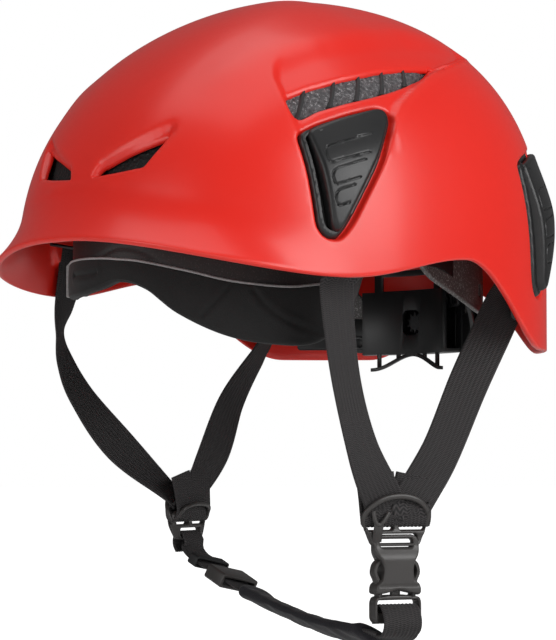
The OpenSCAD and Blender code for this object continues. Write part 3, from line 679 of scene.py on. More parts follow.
def reach_out(start, direction, off, far=60.0):
    """How far along direction each start point meets the dome grown by off."""
    low, high = np.full(len(start), -far), np.full(len(start), far)
    for _ in range(34):
        middle = (low + high) / 2
        out = beyond(start + direction * middle[:, None], off) > 0
        high = np.where(out, middle, high)
        low = np.where(out, low, middle)
    return (low + high) / 2


# ------------------------------------------------------------------ clip frames

FRONT, REAR = 0, 1
CLIP_CENTRE = ((95.7, -49.6, 71.7), (82.6, 88.8, 63.8))
CLIP_TURN = ((18, -25, -15), (12, -17, 37))
CLIP_STRETCH = (1.0, 1.3)
CLIP_NAME = ("front", "rear")


def turn_matrix(angles):
    x, y, z = (math.radians(a) for a in angles)
    turn = Matrix.Rotation(z, 3, "Z") @ Matrix.Rotation(y, 3, "Y") @ Matrix.Rotation(x, 3, "X")
    return np.array(turn)


CLIP_AXES = [turn_matrix(a) for a in CLIP_TURN]


def to_clip(points, which):
    return (points - np.array(CLIP_CENTRE[which])) @ CLIP_AXES[which]


def clip_outline(which):
    s = CLIP_STRETCH[which]
    shape = [(-29, 3.3), (-17, 4.9), (0, 5.1), (20, 4.9), (23.6, 3), (24.2, -1.5), (22.5, -5), (6, -22.1),
             (-20.5, -43.3), (-28.2, -47.6), (-33, -46.8), (-36.2, -43), (-36.9, -38.5), (-31.9, -14.7)]
    return rounded([(y, z * s) for y, z in shape], 4.0)


def panel_outline(which):
    s = CLIP_STRETCH[which]
    shape = [(-24.5, 2.7), (-5, 3.5), (17, 3.5), (20.5, 1.5), (21, -2.5), (19.2, -5.6), (3.4, -20.8),
             (-10.8, -32.4), (-26.5, -45.5), (-30, -45.5), (-32, -42.5), (-28.5, -22.5)]
    return rounded([(y, z * s) for y, z in shape], 3.5)


def on_clip(which, par, off):
    """World points at (y, z) of the clip's frame, off above the dome."""
    frame_axes, centre = CLIP_AXES[which], np.array(CLIP_CENTRE[which])
    flat = np.zeros((len(par), 3))
    flat[:, 1:] = par
    start = centre + flat @ frame_axes.T
    out = frame_axes[:, 0]
    base = reach_out(start, out, 0.0)
    grown = reach_out(start, out, 6.0)
    return start + out * (base + (grown - base) * off / 6.0)[:, None]


# ------------------------------------------------------------------ shell

# Outlines in mm, from the side (y, z) or from the front (x, z)
SIDE_VENT = rounded([(-75, 84.5), (-63, 89.5), (-44, 95.4), (-21, 101.2), (-1, 104.8), (23, 107.5),
                     (9, 100.4), (-7, 94.2), (-18, 90.6), (-31, 86.9), (-49, 82.1), (-63, 77.6),
                     (-72, 72.8), (-74.5, 73.7), (-75.8, 79)], 2.5)
FRONT_VENT = rounded([(8, 47.5), (11.3, 52.6), (26, 59.0), (45.5, 65.8), (38, 50.2), (22.8, 48.4)], 1.2)
REAR_VENT = rounded([(30, 98), (52, 94), (60, 86), (50, 86), (34, 90)], 2.5)
BROW = rounded([(6.5, 46.6), (10, 56), (24, 62.5), (47, 73.5), (48.5, 68), (45.5, 60),
                (38.5, 49.4), (22.8, 47.6)], 2.5)


def polar(par):
    return np.arctan2(par[:, 1], par[:, 0]), np.clip(np.hypot(par[:, 0], par[:, 1]), 0.002, 1.0)


def shell_base(par):
    phi, t = polar(par)
    return dome_at(phi, t, 0.0)


def shell_normal(par):
    phi, t = polar(par)
    d = 0.002
    around = dome_at(phi + d, t, 0.0) - dome_at(phi - d, t, 0.0)
    down = dome_at(phi, np.minimum(t + d, 1.0), 0.0) - dome_at(phi, np.maximum(t - d, 0.001), 0.0)
    normal = unit(np.cross(down, around))
    normal[t < 0.012] = (0, 0, 1)
    return normal


def masked(points, mask, columns, outline, far=60.0):
    out = np.full(len(points), far)
    chosen = np.nonzero(mask)[0]
    if len(chosen):
        flat = points[chosen][:, columns]
        out[chosen] = np.minimum(polygon_distance(flat, outline), far)
    return out


def vent_field(par):
    p = shell_base(par)
    p[:, 0] = np.abs(p[:, 0])
    side = masked(p, (p[:, 0] > 45) & (p[:, 2] > 55) & (p[:, 2] < 118), [1, 2], SIDE_VENT)
    front = masked(p, (p[:, 1] < -60) & (p[:, 2] > 30) & (p[:, 2] < 80), [0, 2], FRONT_VENT)
    rear = masked(p, (p[:, 1] > 40) & (p[:, 2] > 66) & (p[:, 2] < 116), [0, 2], REAR_VENT)
    return np.minimum(side, np.minimum(front, rear))


def pocket_field(which):
    outline = clip_outline(which)
    # The pocket is wider than the plate along its rear and lower edges
    shift = np.array([1.6, -0.8])

    def field(par):
        p = shell_base(par)
        p[:, 0] = np.abs(p[:, 0])
        local = to_clip(p, which)
        near = (np.abs(local[:, 0]) < 30) & (np.abs(local[:, 1]) < 62) & (np.abs(local[:, 2] + 24) < 70)
        out = np.full(len(p), 60.0)
        chosen = np.nonzero(near)[0]
        if len(chosen):
            flat = local[chosen][:, 1:]
            out[chosen] = np.minimum(polygon_distance(flat, outline),
                                     polygon_distance(flat - shift, outline))
        return out

    return field


POCKETS = [pocket_field(FRONT), pocket_field(REAR)]


def body_lines(p):
    """Soft ridges, creases and recesses moulded in the shell, as a normal offset."""
    x, y, z = np.abs(p[:, 0]), p[:, 1], p[:, 2]
    left = np.interp(z, [60, 65, 74, 83, 93, 100, 106], [-78, -77.5, -77.5, -77, -75.5, -72, -66])
    right = np.interp(z, [70, 76, 84, 94, 102, 107, 112, 118], [-26, -24, -16.5, -0.5, 15.5, 29, 46, 66])
    ridge = np.interp(y, [-99, -82, -72, -55, -40, -17, 14, 33, 60],
                      [90, 98, 105, 112, 117, 122, 127, 128, 127])
    side = smooth(40, 52, x)
    inset = (smooth(0, 3.5, y - left) * smooth(0, 4.5, right - y)
             * smooth(0, 11, ridge - z) * smooth(56, 78, z))
    out = -2.3 * inset * side
    crest = np.exp(-((ridge - z) / 6.5) ** 2) * smooth(-105, -86, y) * (1 - smooth(20, 52, y))
    out += 0.8 * crest * side
    shoulder = np.exp(-((y - right - 3.0) / 5.0) ** 2) * smooth(84, 98, z) * (1 - smooth(114, 122, z))
    out += 0.8 * shoulder * side
    front = y < -55
    brow = np.full(len(p), 30.0)
    brow[front] = polygon_distance(np.stack([x, z], 1)[front], BROW)
    out += -2.4 * smooth(0, 4.0, -brow)
    nose = np.exp(-((z - 43.2) / 1.3) ** 2) * (1 - smooth(19, 29, x)) * front
    out += 0.7 * nose
    return out


POCKET_S = [-1.1, -0.5, 0.1, 0.5, 1.1, 1.9]
POCKET_D = [-3.4, -3.0, -0.95, -0.42, -0.12, 0.0]


def shell_outer(par):
    p = shell_base(par)
    depth = body_lines(p)
    for field in POCKETS:
        depth = depth + np.interp(field(par), POCKET_S, POCKET_D)
    vent = vent_field(par)
    depth = depth - 0.55 * np.clip(1 - vent / 1.6, 0, 1) ** 2
    return p + shell_normal(par) * depth[:, None]


def shell_inner(par):
    p = shell_base(par)
    depth = -WALL + body_lines(p)
    for field in POCKETS:
        depth = depth - 2.5 * (1 - smooth(-0.5, 2.6, field(par)))
    return p + shell_normal(par) * depth[:, None]


def build_shell():
    rings = np.concatenate([np.linspace(0, KNEE, 104)[1:], np.linspace(KNEE, 1, 12)[1:]])
    par, tris = polar_sheet(384, rings)
    for level in (1.6, 0.8, 0.0):
        par, tris = split_at(par, tris, vent_field, level)
    par, tris = keep_where(par, tris, lambda q: -vent_field(q))
    for field in POCKETS:
        for level in POCKET_S:
            par, tris = split_at(par, tris, field, level)
    add_piece("helmet_shell", solid(par, tris, shell_outer, shell_inner, 0.9, 6), RED,
              replaces="shell", sharp=60)


# ------------------------------------------------------------------ foam liner and vent ribs

FOAM_OUT, FOAM_IN, FOAM_LOW = -6.3, -20.3, 34.0
CRADLE_PIVOT = np.array([22, 19])           # (y, z) of the line the cradle folds on
WHEEL_REACH, WHEEL_HALF = 100.4, 19         # how far the size wheel sweeps from it, and its half width


def build_foam():
    rings = np.linspace(0, 1, 92)[1:]
    par, tris = polar_sheet(264, rings)
    grain = {}

    def skin(off, rough):
        def place(q):
            phi, t = polar(q)
            if rough not in grain:
                grain[rough] = random.normal(0, rough, len(q))
            p = dome_at(phi, t, off, FOAM_LOW)
            return p + unit(p) * grain[rough][:, None]
        return place

    def outer(q):
        """The foam swells up into the side vents."""
        p = skin(FOAM_OUT - 0.1, 0.12)(q)
        flat = np.abs(p[:, 0]) > 45
        inside = np.full(len(p), 9.0)
        inside[flat] = polygon_distance(p[flat][:, 1:] + [0, 1.5], SIDE_VENT)
        return p + unit(p) * (2.6 * (1 - smooth(-1.0, 2.5, inside)))[:, None]

    def inner(q):
        p = skin(FOAM_IN, 0.03)(q)
        # Room for the size wheel while the cradle folds
        away = p[:, 1:] - CRADLE_PIVOT
        far = np.linalg.norm(away, axis=1)
        close = (np.abs(p[:, 0]) < WHEEL_HALF) & (far < WHEEL_REACH) & (p[:, 1] > 60)
        p[close, 1:] = CRADLE_PIVOT + away[close] * (WHEEL_REACH / far[close])[:, None]
        return p

    add_piece("liner_foam", solid(par, tris, outer, inner, 2.0, 5), FOAM,
              replaces="foam_liner", sharp=180)


def x_at(y, z, off):
    start = np.stack([np.full(len(y), 85.0), y, z], 1)
    return 85.0 + reach_out(start, np.array([1.0, 0, 0]), off)


RIB_LEAN = 0.58     # mm back for each mm up
RIB_HALF = 0.8
RIB_FACE = -2.9     # below the shell's outer skin


def build_ribs():
    parts = []
    heights = np.linspace(68, 106, 400)
    for base, middle in ((-63.5, 86), (-48.5, 89), (-33.5, 93), (-17.5, 97), (-0.5, 101)):
        leaning = base + RIB_LEAN * (heights - middle)
        column = np.stack([leaning, heights], 1)
        open_z = heights[polygon_distance(column, SIDE_VENT) < 1.2]
        loops = []
        for z in np.linspace(open_z[0], open_z[-1], 12):
            y0 = base + RIB_LEAN * (z - middle)
            y = np.full(1, y0)
            h = np.full(1, z)
            out = x_at(y, h, RIB_FACE)[0]
            back = x_at(y, h, FOAM_OUT + 0.1)[0]
            w = RIB_HALF
            loops.append([(back, y0 + w, z), (back, y0 - w, z), (out - 0.5, y0 - w, z),
                          (out, y0 - w * 0.45, z), (out, y0 + w * 0.45, z), (out - 0.5, y0 + w, z)])
        parts.append(loft(loops))
    ribs = joined(*parts)
    add_pair("vent_ribs", ribs, RIB, "root", "vent_grille", 40)


# ------------------------------------------------------------------ headlamp clips

def finger_grooves(s):
    """Three shrinking open rectangles pressed in a clip's panel."""
    shapes = [
        [(5, -9.4), (-19.6, -8.6), (-22.6, -10.6), (-23.4, -16.6), (-1.4, -18.0)],
        [(-5.5, -20.6), (-22.4, -20.2), (-24.8, -22.0), (-25.4, -27.0), (-11.6, -27.6)],
        [(-15.8, -29.9), (-24.8, -29.6), (-26.9, -31.6), (-27.4, -36.0), (-21.0, -36.4)],
    ]
    return [rounded([(y, z * s) for y, z in shape], 2.2, closed=False) for shape in shapes]


def build_clip(which):
    s = CLIP_STRETCH[which]
    outline, panel = clip_outline(which), panel_outline(which)
    grooves = finger_grooves(s)

    def panel_field(q):
        return polygon_distance(q, panel)

    def groove_field(q):
        return np.min([path_distance(q, g) for g in grooves], axis=0)

    par, tris = grid_sheet(-34, 23, -48 * s, 5, 0.85)
    for level in (-0.5, -0.9, -1.4, -1.9, -2.6):
        par, tris = split_at(par, tris, panel_field, level, 0.03)
    for level in (0.7, 0.42, 0.2):
        par, tris = split_at(par, tris, groove_field, level, 0.02)
    par, tris = keep_where(par, tris, lambda q: panel_field(q) + 0.5)

    def swell(q):
        """The panel is thin at its hinge and stands proudest past the middle."""
        w = (3.5 - q[:, 1] / s) / 49.0
        crown = 1 - 0.5 * ((q[:, 0] + 8) / 30) ** 2
        return 2.0 + 3.6 * smooth(0.0, 0.55, w) * crown - 0.6 * smooth(0.62, 1.0, w)

    def top(q):
        inside = -panel_field(q) - 0.5
        edge = np.clip(1 - inside / 2.0, 0, 1)
        off = swell(q) - 1.5 * (1 - np.sqrt(np.maximum(0, 1 - edge ** 2)))
        off = off - 0.65 * (1 - smooth(0.15, 0.68, groove_field(q)))
        return on_clip(which, q, off)

    def under(q):
        inside = -panel_field(q)
        hollow = swell(q) - 2.0
        off = np.where(inside > 2.3, hollow, -1.2 + (hollow + 1.2) * np.clip((inside - 1.7) / 0.6, 0, 1))
        return on_clip(which, q, off)

    panel_part = solid(par, tris, top, under, 0.35, 4)
    axes, centre = CLIP_AXES[which], np.array(CLIP_CENTRE[which])
    bar = []
    for y, r in [(-19.5, 0.7), (-19, 0.9), (15, 0.9), (15.5, 0.7)]:
        ring = [(0.7 + r * math.cos(a), y, r * math.sin(a)) for a in angles(16)]
        bar.append(centre + np.array(ring) @ axes.T)
    panel_part = joined(panel_part, loft(bar))

    def plate_field(q):
        return polygon_distance(q, outline)

    par, tris = grid_sheet(-39, 27, -50 * s, 7, 1.1)
    for level in (-0.5, -1.1, -2.0, -3.2, -4.4):
        par, tris = split_at(par, tris, plate_field, level, 0.04)
    par, tris = keep_where(par, tris, lambda q: plate_field(q) + 0.5)

    def plate_top(q):
        inside = -plate_field(q) - 0.5
        side = np.maximum(1 - smooth(-24, -17, q[:, 0]), 1 - smooth(-45 * s, -39 * s, q[:, 1]))
        rail = smooth(0, 0.9, inside) * (1 - smooth(2.8, 3.8, inside)) * side
        off = -2.5 + 0.5 * smooth(0, 0.6, inside) + 2.6 * rail
        return on_clip(which, q, off)

    plate = solid(par, tris, plate_top, lambda q: on_clip(which, q, np.full(len(q), -3.2)), 0.2, 3)
    ears = []
    for y in (-11, 7):
        loops = []
        for off_y, r in [(-1.5, 1.2), (-1.2, 1.5), (1.2, 1.5), (1.5, 1.2)]:
            ring = [(-3.2, -r), (0.1, -r)]
            ring += [(0.2 + r * math.cos(a), r * math.sin(a)) for a in np.linspace(-1.3, 1.3, 9)]
            ring += [(0.1, r), (-3.2, r)]
            local = np.array([(x, y + off_y, z) for x, z in ring])
            loops.append(centre + local @ axes.T)
        ears.append(loft(np.array(loops)[:, ::-1]))
    plate = joined(plate, *ears)
    name = CLIP_NAME[which]
    for side, turn in (("left", lambda part: part), ("right", mirrored)):
        add_piece(f"clip_panel_{name}_{side}", turn(panel_part), CLIP, f"clip_{name}_{side}",
                  f"headlamp_clip_{name}_{side}", 50)
        add_piece(f"clip_plate_{name}_{side}", turn(plate), CLIP, "root",
                  f"clip_base_{name}_{side}", 50)


# ------------------------------------------------------------------ headband

# The ring is round at the rear and stretched at the front, round (0, BAND_Y)
BAND_R, BAND_Y, BAND_FRONT, BAND_T = 73.0, 22.0, 145.0, 1.8
BAND_START, BAND_SWEEP, BAND_TOP = -190, 200, 26    # degrees, degrees, mm
BAND_RUN, BAND_ROWS = 260, 24                       # cells of the sheet


def ring_at(a, off, z):
    """Point of the head ring at angle a in degrees, off outside the band's inner face."""
    r = np.radians(a)
    along = np.where(np.sin(r) > 0, BAND_R, BAND_FRONT) + off
    return np.stack([(BAND_R + off) * np.cos(r), BAND_Y + along * np.sin(r),
                     np.broadcast_to(z, r.shape)], -1)


def eased(x, stops):
    """Smooth curve through (x, y) stops."""
    stops = np.array(stops, float)
    flat = np.column_stack([stops[:, 0], np.zeros(len(stops)), np.zeros(len(stops)), stops[:, 1]])
    line, _ = resample(flat, 200)
    return np.interp(x, line[:, 0], line[:, 3])


LOW_EDGE = [(-195, 12), (-160, 11), (-136, 5), (-124, -3), (-116, -5.5), (-100, -5), (-88, -3), (-78, 0.6),
            (-69, -3), (-60, -14), (-48, -24), (-37, -28), (-26, -26.5), (-18, -10), (-12, 12), (15, 12)]
PAD_TOP = [(-125, 5), (-116, 8.6), (-100, 10), (-86, 9.8), (-78, 9), (-70, 7.7), (-57, 3.3), (-46, -1.2),
           (-34, -3.2), (-26, -1.5), (-15, 2)]
PAD_FAR, PAD_NEAR = -111.0, -23.5           # degrees round the ring
PAD_MM_PER_DEGREE = 1.9


def band_low(a):
    return eased(a, LOW_EDGE)


def pad_low(a):
    return band_low(a) - 1.0


def pad_high(a):
    return eased(a, PAD_TOP)


def build_headband():
    par, tris = grid_sheet(0, BAND_RUN, 0, BAND_ROWS, 1)

    def place(off):
        def at(q):
            a = BAND_START + q[:, 0] / BAND_RUN * BAND_SWEEP
            low = band_low(a)
            z = low + (BAND_TOP - low) * q[:, 1] / BAND_ROWS
            crease = np.exp(-((z - low - 16 - 0.10 * (a + 60)) / 1.0) ** 2)
            return ring_at(a, off - (0.35 * crease if off > 1 else 0), z)
        return at

    add_piece("head_band", solid(par, tris[:, ::-1], place(BAND_T), place(0.0), 0.5, 4), BAND,
              replaces="headband", sharp=50)


def pad_section(a, points):
    """Section of the forehead pad: points are (off, height share, extra height)."""
    low, high = pad_low(a), pad_high(a)
    off = np.array([p[0] for p in points])
    z = np.array([low + (high - low) * p[1] + p[2] for p in points])
    return ring_at(np.full(len(points), a), off, z)


PAD_SEAMS = [[(-46, -2), (-49, -9), (-53, -17)], [(-41, -5), (-38, -13), (-33, -20), (-25, -25)],
             [(-100, 3), (-92, 2.5), (-86, 3.5)]]


def build_forehead_pad():
    outer = 26    # rows across the pad's face
    face = [(3.6, 1 - k / outer, 0) for k in range(1, outer)]
    wrap = ([(2.2, 1, 0.0), (3.2, 1, -0.1)] + face
            + [(3.4, 0, 0.3), (2.7, 0, -0.5), (1.2, 0, -0.9), (-0.9, 0, -0.7), (-1.6, 0, 0.4),
               (-0.9, 0, 1.0), (0.9, 0, 0.7), (1.9, 0, 1.0), (2.1, 0, 2.2), (2.1, 0.4, 0),
               (2.1, 0.7, 0)])
    loops = []
    for a in np.linspace(PAD_FAR, PAD_NEAR, 240):
        low, high = pad_low(a), pad_high(a)
        share = 1 - np.arange(1, outer) / outer
        spot = np.stack([np.full(outer - 1, a) * PAD_MM_PER_DEGREE, low + (high - low) * share], 1)
        depth = np.zeros(outer - 1)
        for seam in PAD_SEAMS:
            line = [(x * PAD_MM_PER_DEGREE, y) for x, y in rounded(seam, 6, closed=False)]
            gap = path_distance(spot, line)
            depth += -0.75 * np.exp(-(gap / 0.8) ** 2) + 0.45 * np.exp(-((gap - 2.6) / 1.8) ** 2)
        depth += 0.5 * np.sin(share * math.pi)
        section = [(o + (depth[k - 2] if 2 <= k < outer + 1 else 0), s, e)
                   for k, (o, s, e) in enumerate(wrap)]
        loops.append(pad_section(a, section))
    add_piece("pad_wrap", loft(np.array(loops)[:, ::-1]), PAD, sharp=50)
    edge = []
    ring = angles(8)
    centres = []
    path = [(PAD_FAR - 0.9 + 1.4 * (2 * f - 1) ** 2, f) for f in np.linspace(0.02, 0.97, 14)]
    path += [(a, 1.0) for a in np.linspace(PAD_FAR + 0.8, PAD_NEAR - 0.6, 130)]
    path += [(PAD_NEAR, f) for f in np.linspace(0.97, 0.1, 12)]
    for a, share in path:
        low, high = pad_low(a), pad_high(a)
        z = low + (high - low) * share + (0.3 if share == 1.0 else 0)
        centres.append(ring_at(np.array([a]), 3.0, z)[0])
    centres = np.array(centres)
    ahead = unit(np.gradient(centres, axis=0))
    for k, (c, f) in enumerate(zip(centres, ahead)):
        out = unit(np.array([c[0], (c[1] - BAND_Y) * 0.4, 0]))
        up = unit(np.cross(out, f))
        out = unit(np.cross(f, up))
        wide = 2.0 if k < 14 else 0.85
        edge.append([c + out * wide * math.cos(t) + up * 0.62 * math.sin(t) for t in ring])
    add_piece("pad_edge", loft(edge), EDGE, sharp=60)
    # The cushion inside the band
    loops = []
    near, far = PAD_NEAR - 3, PAD_FAR + 1.5
    for a in np.linspace(far, near, 120):
        section = []
        for t in angles(28):
            off = -4.0 + 2.7 * squared(math.cos(t), 0.5)
            share = 0.5 + 0.47 * squared(math.sin(t), 0.6)
            section.append((off, share, 0))
        end = min(1.0, (a - far + 0.5) / 2.5, (near + 0.5 - a) / 2.5)
        loop = pad_section(a, section)
        middle = loop.mean(0)
        loops.append(middle + (loop - middle) * (0.55 + 0.45 * end))
    cushion = add_piece("forehead_cushion", loft(np.array(loops)[:, ::-1]), PAD, replaces="forehead_pad",
                        sharp=70)
    inflate(cushion, cap=1.0)


CROWN_OUT, CROWN_IN = -22.4, -26.0


def build_crown_pad():
    par, tris = grid_sheet(-33, 33, -50, 50, 2.2)

    def field(q):
        return rounded_box(q, (0, 0), (29, 45), 18)

    par, tris = split_at(par, tris, field, 0.0)
    par, tris = keep_where(par, tris, field)

    def under(off):
        def at(q):
            start = np.column_stack([q, np.full(len(q), 95.0)])
            return start + UP * reach_out(start, UP, off)[:, None]
        return at

    pad = add_piece("crown_cushion", solid(par, tris, under(CROWN_OUT), under(CROWN_IN), 0.8, 5), PAD,
                    replaces="crown_pad", sharp=80)
    inflate(pad, cap=0.9)


# ------------------------------------------------------------------ webbing

CHEEK_X, CHEEK_YAW = 75.0, math.radians(-20)
DIVIDER_Z = -118.0
ACROSS = np.array([-math.sin(CHEEK_YAW), math.cos(CHEEK_YAW), 0])
OUT = np.array([math.cos(CHEEK_YAW), math.sin(CHEEK_YAW), 0])


def cheek(out, along, z):
    return np.array([CHEEK_X, 0, 0]) + OUT * out + ACROSS * along + UP * z


def ribbon(stations, width=20.0, thick=1.6, ribs=10, count=150):
    """Flat ribbed strap through stations of (centre, width direction)."""
    rows = [list(c) + list(unit(w)) for c, w in stations]
    line, length = resample(rows, count)
    centre, across = line[:, :3], line[:, 3:]
    ahead = unit(np.gradient(centre, axis=0))
    across = unit(across - ahead * (across * ahead).sum(1, keepdims=True))
    face = np.cross(ahead, across)
    steps = ribs * 4
    u = np.linspace(-1, 1, steps + 1)
    crown = np.clip((1 - np.abs(u)) * width / 2 / 0.7, 0, 1) ** 0.5
    rib = np.cos((u + 1) * math.pi * ribs + math.pi)
    height = thick / 2 * (0.35 + 0.65 * crown) - 0.2 + 0.2 * rib * crown
    side = np.concatenate([u, u[::-1]]) * width / 2
    lift = np.concatenate([height, -height[::-1]])
    loops = centre[:, None] + across[:, None] * side[None, :, None] + face[:, None] * lift[None, :, None]
    run = np.linspace(0, length, count)
    uv = np.stack(np.broadcast_arrays(run[:, None], (side / width + 0.5)[None, :]), -1).reshape(-1, 2)
    points, faces = loft(loops[:, ::-1])
    return (points, faces), uv.reshape(count, -1, 2)[:, ::-1].reshape(-1, 2)


def mirrored_stations(stations):
    return [(np.array(c) * [-1, 1, 1], np.array(w) * [1, -1, -1]) for c, w in stations]


def station(centre, across):
    """One station of a strap: its middle and the direction of its width."""
    return np.array(centre, float), np.array(across, float)


def strap_end(along, lean):
    """Stations where a strap folds through the divider's slot and back up."""
    return [
        (cheek(2.9, along, DIVIDER_Z + 14), ACROSS),
        (cheek(2.9, along, DIVIDER_Z + 8), ACROSS),
        (cheek(1.7, along, DIVIDER_Z + 4.0), ACROSS),
        (cheek(0.0, along, DIVIDER_Z + 3.0), ACROSS),
        (cheek(-1.9, along, DIVIDER_Z + 4.2), ACROSS),
        (cheek(-3.0, along, DIVIDER_Z + 9), ACROSS),
        (cheek(-2.2, along + lean * 0.4, DIVIDER_Z + 18), ACROSS),
        (cheek(-1.0, along + lean, DIVIDER_Z + 27), ACROSS),
    ]


def front_stations():
    return [
        station((98.5, -51, 22), (0.22, 1, 0)),
        station((97.8, -51.5, 9), (0.22, 1, 0)),
        station((94.5, -53.5, 2), (0.2, 1, 0)),
        station((90.5, -53.5, -6), (0.05, 1, 0)),
        station((82.5, -40, -45), (-0.1, 1, 0)),
        station((78.5, -24.5, -80), (0.0, 1, 0)),
    ] + strap_end(-7, -3)


def rear_stations():
    return [
        station((86.8, 76.5, 7), (-0.35, 0.93, 0)),
        station((86.0, 74.0, 1), (0.3, 0.95, 0)),
        station((84.0, 68.0, -8), (0.62, 0.78, 0)),
        station((82.5, 60, -22), (0.62, 0.78, 0)),
        station((81, 45, -47), (0.5, 0.86, 0)),
        station((79.5, 27, -80), (0.35, 0.93, 0)),
    ] + strap_end(8, 3)


def far_rear_stations():
    return [
        station((-87.5, 75, -1), (0.62, -0.79, 0)),
        station((-88, 70, -16), (0.55, -0.83, 0)),
        station((-88, 62, -27), (0.45, -0.89, 0)),
        station((-86, 41, -52), (0.2, -0.98, 0)),
        station((-81, 23, -80), (0, -1, 0)),
    ] + mirrored_stations(strap_end(8, 3))


def far_front_stations():
    """The strap on the wearer's right hangs slack and turns once below the shell."""
    return [
        station((-98.5, -58, 24), (0.25, -0.96, 0)),
        station((-99, -60, 8), (0.25, -0.96, 0)),
        station((-101.5, -61.5, -6), (0.42, -0.90, 0)),
        station((-104, -62, -19), (0.68, -0.73, 0)),
        station((-103, -59, -34), (0.42, -0.90, 0)),
        station((-99, -51, -52), (0.1, -0.99, 0)),
        station((-89, -34, -77), (-0.2, -0.97, 0)),
    ] + mirrored_stations(strap_end(-7, -3))


CHIN_LAY = np.array([0, 1, -0.42])


def far_cheek(out, z):
    return cheek(out, 0, z) * [-1, 1, 1]


def chin_stations():
    far = ACROSS * [-1, 1, 1]
    return [
        (cheek(-4.6, 0, -161.5), ACROSS),
        (cheek(-3.6, 0, -156.8), ACROSS),
        (cheek(0.4, 0, -152.9), ACROSS),
        (cheek(5.2, 0, -153.4), ACROSS),
        (cheek(8.6, 0, -158.6), ACROSS),
        (cheek(8.2, 0, -163.4), ACROSS),
        (cheek(4.2, 0, -166.8), ACROSS),
        (cheek(-3.0, 0, -168.3), np.array([0.2, 1, -0.2])),
        station((62, 0, -168.2), CHIN_LAY),
        station((50, 0, -167.8), CHIN_LAY),
        station((31, 0, -165.8), CHIN_LAY),
        station((10, 0, -161.4), CHIN_LAY),
        station((-10, 0, -156.2), CHIN_LAY),
        station((-26, 0, -151), (0, 1, -0.3)),
        station((-46, 0, -142.2), (0, 1, -0.22)),
        station((-64, 0, -134.5), (-0.1, 1, -0.1)),
        (far_cheek(-3.8, -129.5), far),
        (far_cheek(-3.4, -124.8), far),
        (far_cheek(-0.4, -120.9), far),
        (far_cheek(2.9, -123.4), far),
        (far_cheek(3.2, -127.4), far),
        (far_cheek(1.6, -131.0), far),
    ]


def build_straps():
    for name, stations in (("front_left", front_stations()), ("front_right", far_front_stations()),
                           ("rear_left", rear_stations()), ("rear_right", far_rear_stations())):
        part, uv = ribbon(stations)
        add_piece(f"webbing_{name}", part, WEB, "root", f"strap_{name}", 60, uv)
    part, uv = ribbon(chin_stations(), count=260)
    chin = add_piece("webbing_chin", part, WEB, None, "chin_strap", 60, uv)
    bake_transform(chin)


SLEEVE_HALF, SLEEVE_THICK = 12.2, 8.0


def build_sleeve():
    """Padded sleeve: a soft tube round the chin strap, gathered along its length."""
    rows = [list(c) + list(unit(w)) for c, w in chin_stations()[8:14]]
    line, length = resample(rows, 96)
    centre, across = line[:, :3], line[:, 3:]
    ahead = unit(np.gradient(centre, axis=0))
    across = unit(across - ahead * (across * ahead).sum(1, keepdims=True))
    face = np.cross(ahead, across)
    loops = []
    for i in range(len(line)):
        s = i / (len(line) - 1)
        end = min(1.0, 0.80 + min(s, 1 - s) * 7)
        gather = 1 + 0.035 * math.sin(s * 31 + 1.2) + 0.02 * math.sin(s * 67)
        loop = []
        for t in angles(40):
            c, w = math.cos(t), math.sin(t)
            u = SLEEVE_HALF * end * squared(c, 0.75)
            v = SLEEVE_THICK / 2 * end * gather * squared(w, 0.7)
            v += 0.25 * math.sin(s * 44 + 3 * c) * (1 - abs(c))
            loop.append(centre[i] + across[i] * u + face[i] * v)
        loops.append(loop)
    sleeve = add_piece("chin_sleeve", loft(np.array(loops)[:, ::-1]), SLEEVE, "tongue",
                       "chin_pad", 70)
    inflate(sleeve, cap=0.8)


# ------------------------------------------------------------------ plates and small parts

def plate(field, extent, front, back, step=0.7, lip=0.5, levels=(-0.5, -1.0, -1.6), place=None):
    """Moulded plate cut to field < 0, with rounded edges; place maps (x, y, z)."""
    par, tris = grid_sheet(*extent, step)
    for level in levels:
        par, tris = split_at(par, tris, field, level, 0.02)
    inset = levels[0]
    par, tris = keep_where(par, tris, lambda q: field(q) - inset)

    def skin(height, sign):
        def at(q):
            edge = np.clip(1 - (-field(q) + inset) / 1.1, 0, 1)
            z = height(q) - sign * 0.55 * (1 - np.sqrt(np.maximum(0, 1 - edge ** 2)))
            return place(np.column_stack([q, z]))
        return at

    return solid(par, tris, skin(front, 1), skin(back, -1), lip, 4)


def level(z):
    return lambda q: np.full(len(q), float(z))


def on_cheek(z0):
    def place(p):
        return (np.array([CHEEK_X, 0, z0]) + ACROSS * p[:, :1] + UP * p[:, 1:2] + OUT * p[:, 2:3])
    return place


def two_sided(half):
    """Closed outline from its right half, listed from the top down, and its mirror image."""
    return half + [(-x, y) for x, y in half[::-1] if x]


DIVIDER = rounded(two_sided([(0, 5.6), (2.4, 7.4), (9, 9.2), (16.4, 7.5), (17, 4), (15.5, 0),
                             (12.5, -7)]), 2.6)


def divider_field(q):
    body = polygon_distance(q, DIVIDER)
    for side in (-1, 1):
        body = np.maximum(body, -rounded_box(q, (side * 8.4, 3.3), (6.6, 1.9), 1.2))
    return np.maximum(body, -rounded_box(q, (0, -3.0), (10.6, 1.8), 1.0))


def sweep(path, half_across, half_thick, normals, sides=10, count=60):
    """Rounded bar along a path; normals gives the thickness direction."""
    line, _ = resample([list(p) for p in path], count)
    ahead = unit(np.gradient(line, axis=0))
    thick = unit(normals - ahead * (ahead @ normals)[:, None])
    wide = np.cross(ahead, thick)
    loops = []
    for t in angles(sides):
        across = half_across * squared(math.cos(t), 0.7)
        through = half_thick * squared(math.sin(t), 0.7)
        loops.append(line + wide * across + thick * through)
    return loft(np.array(loops).transpose(1, 0, 2))


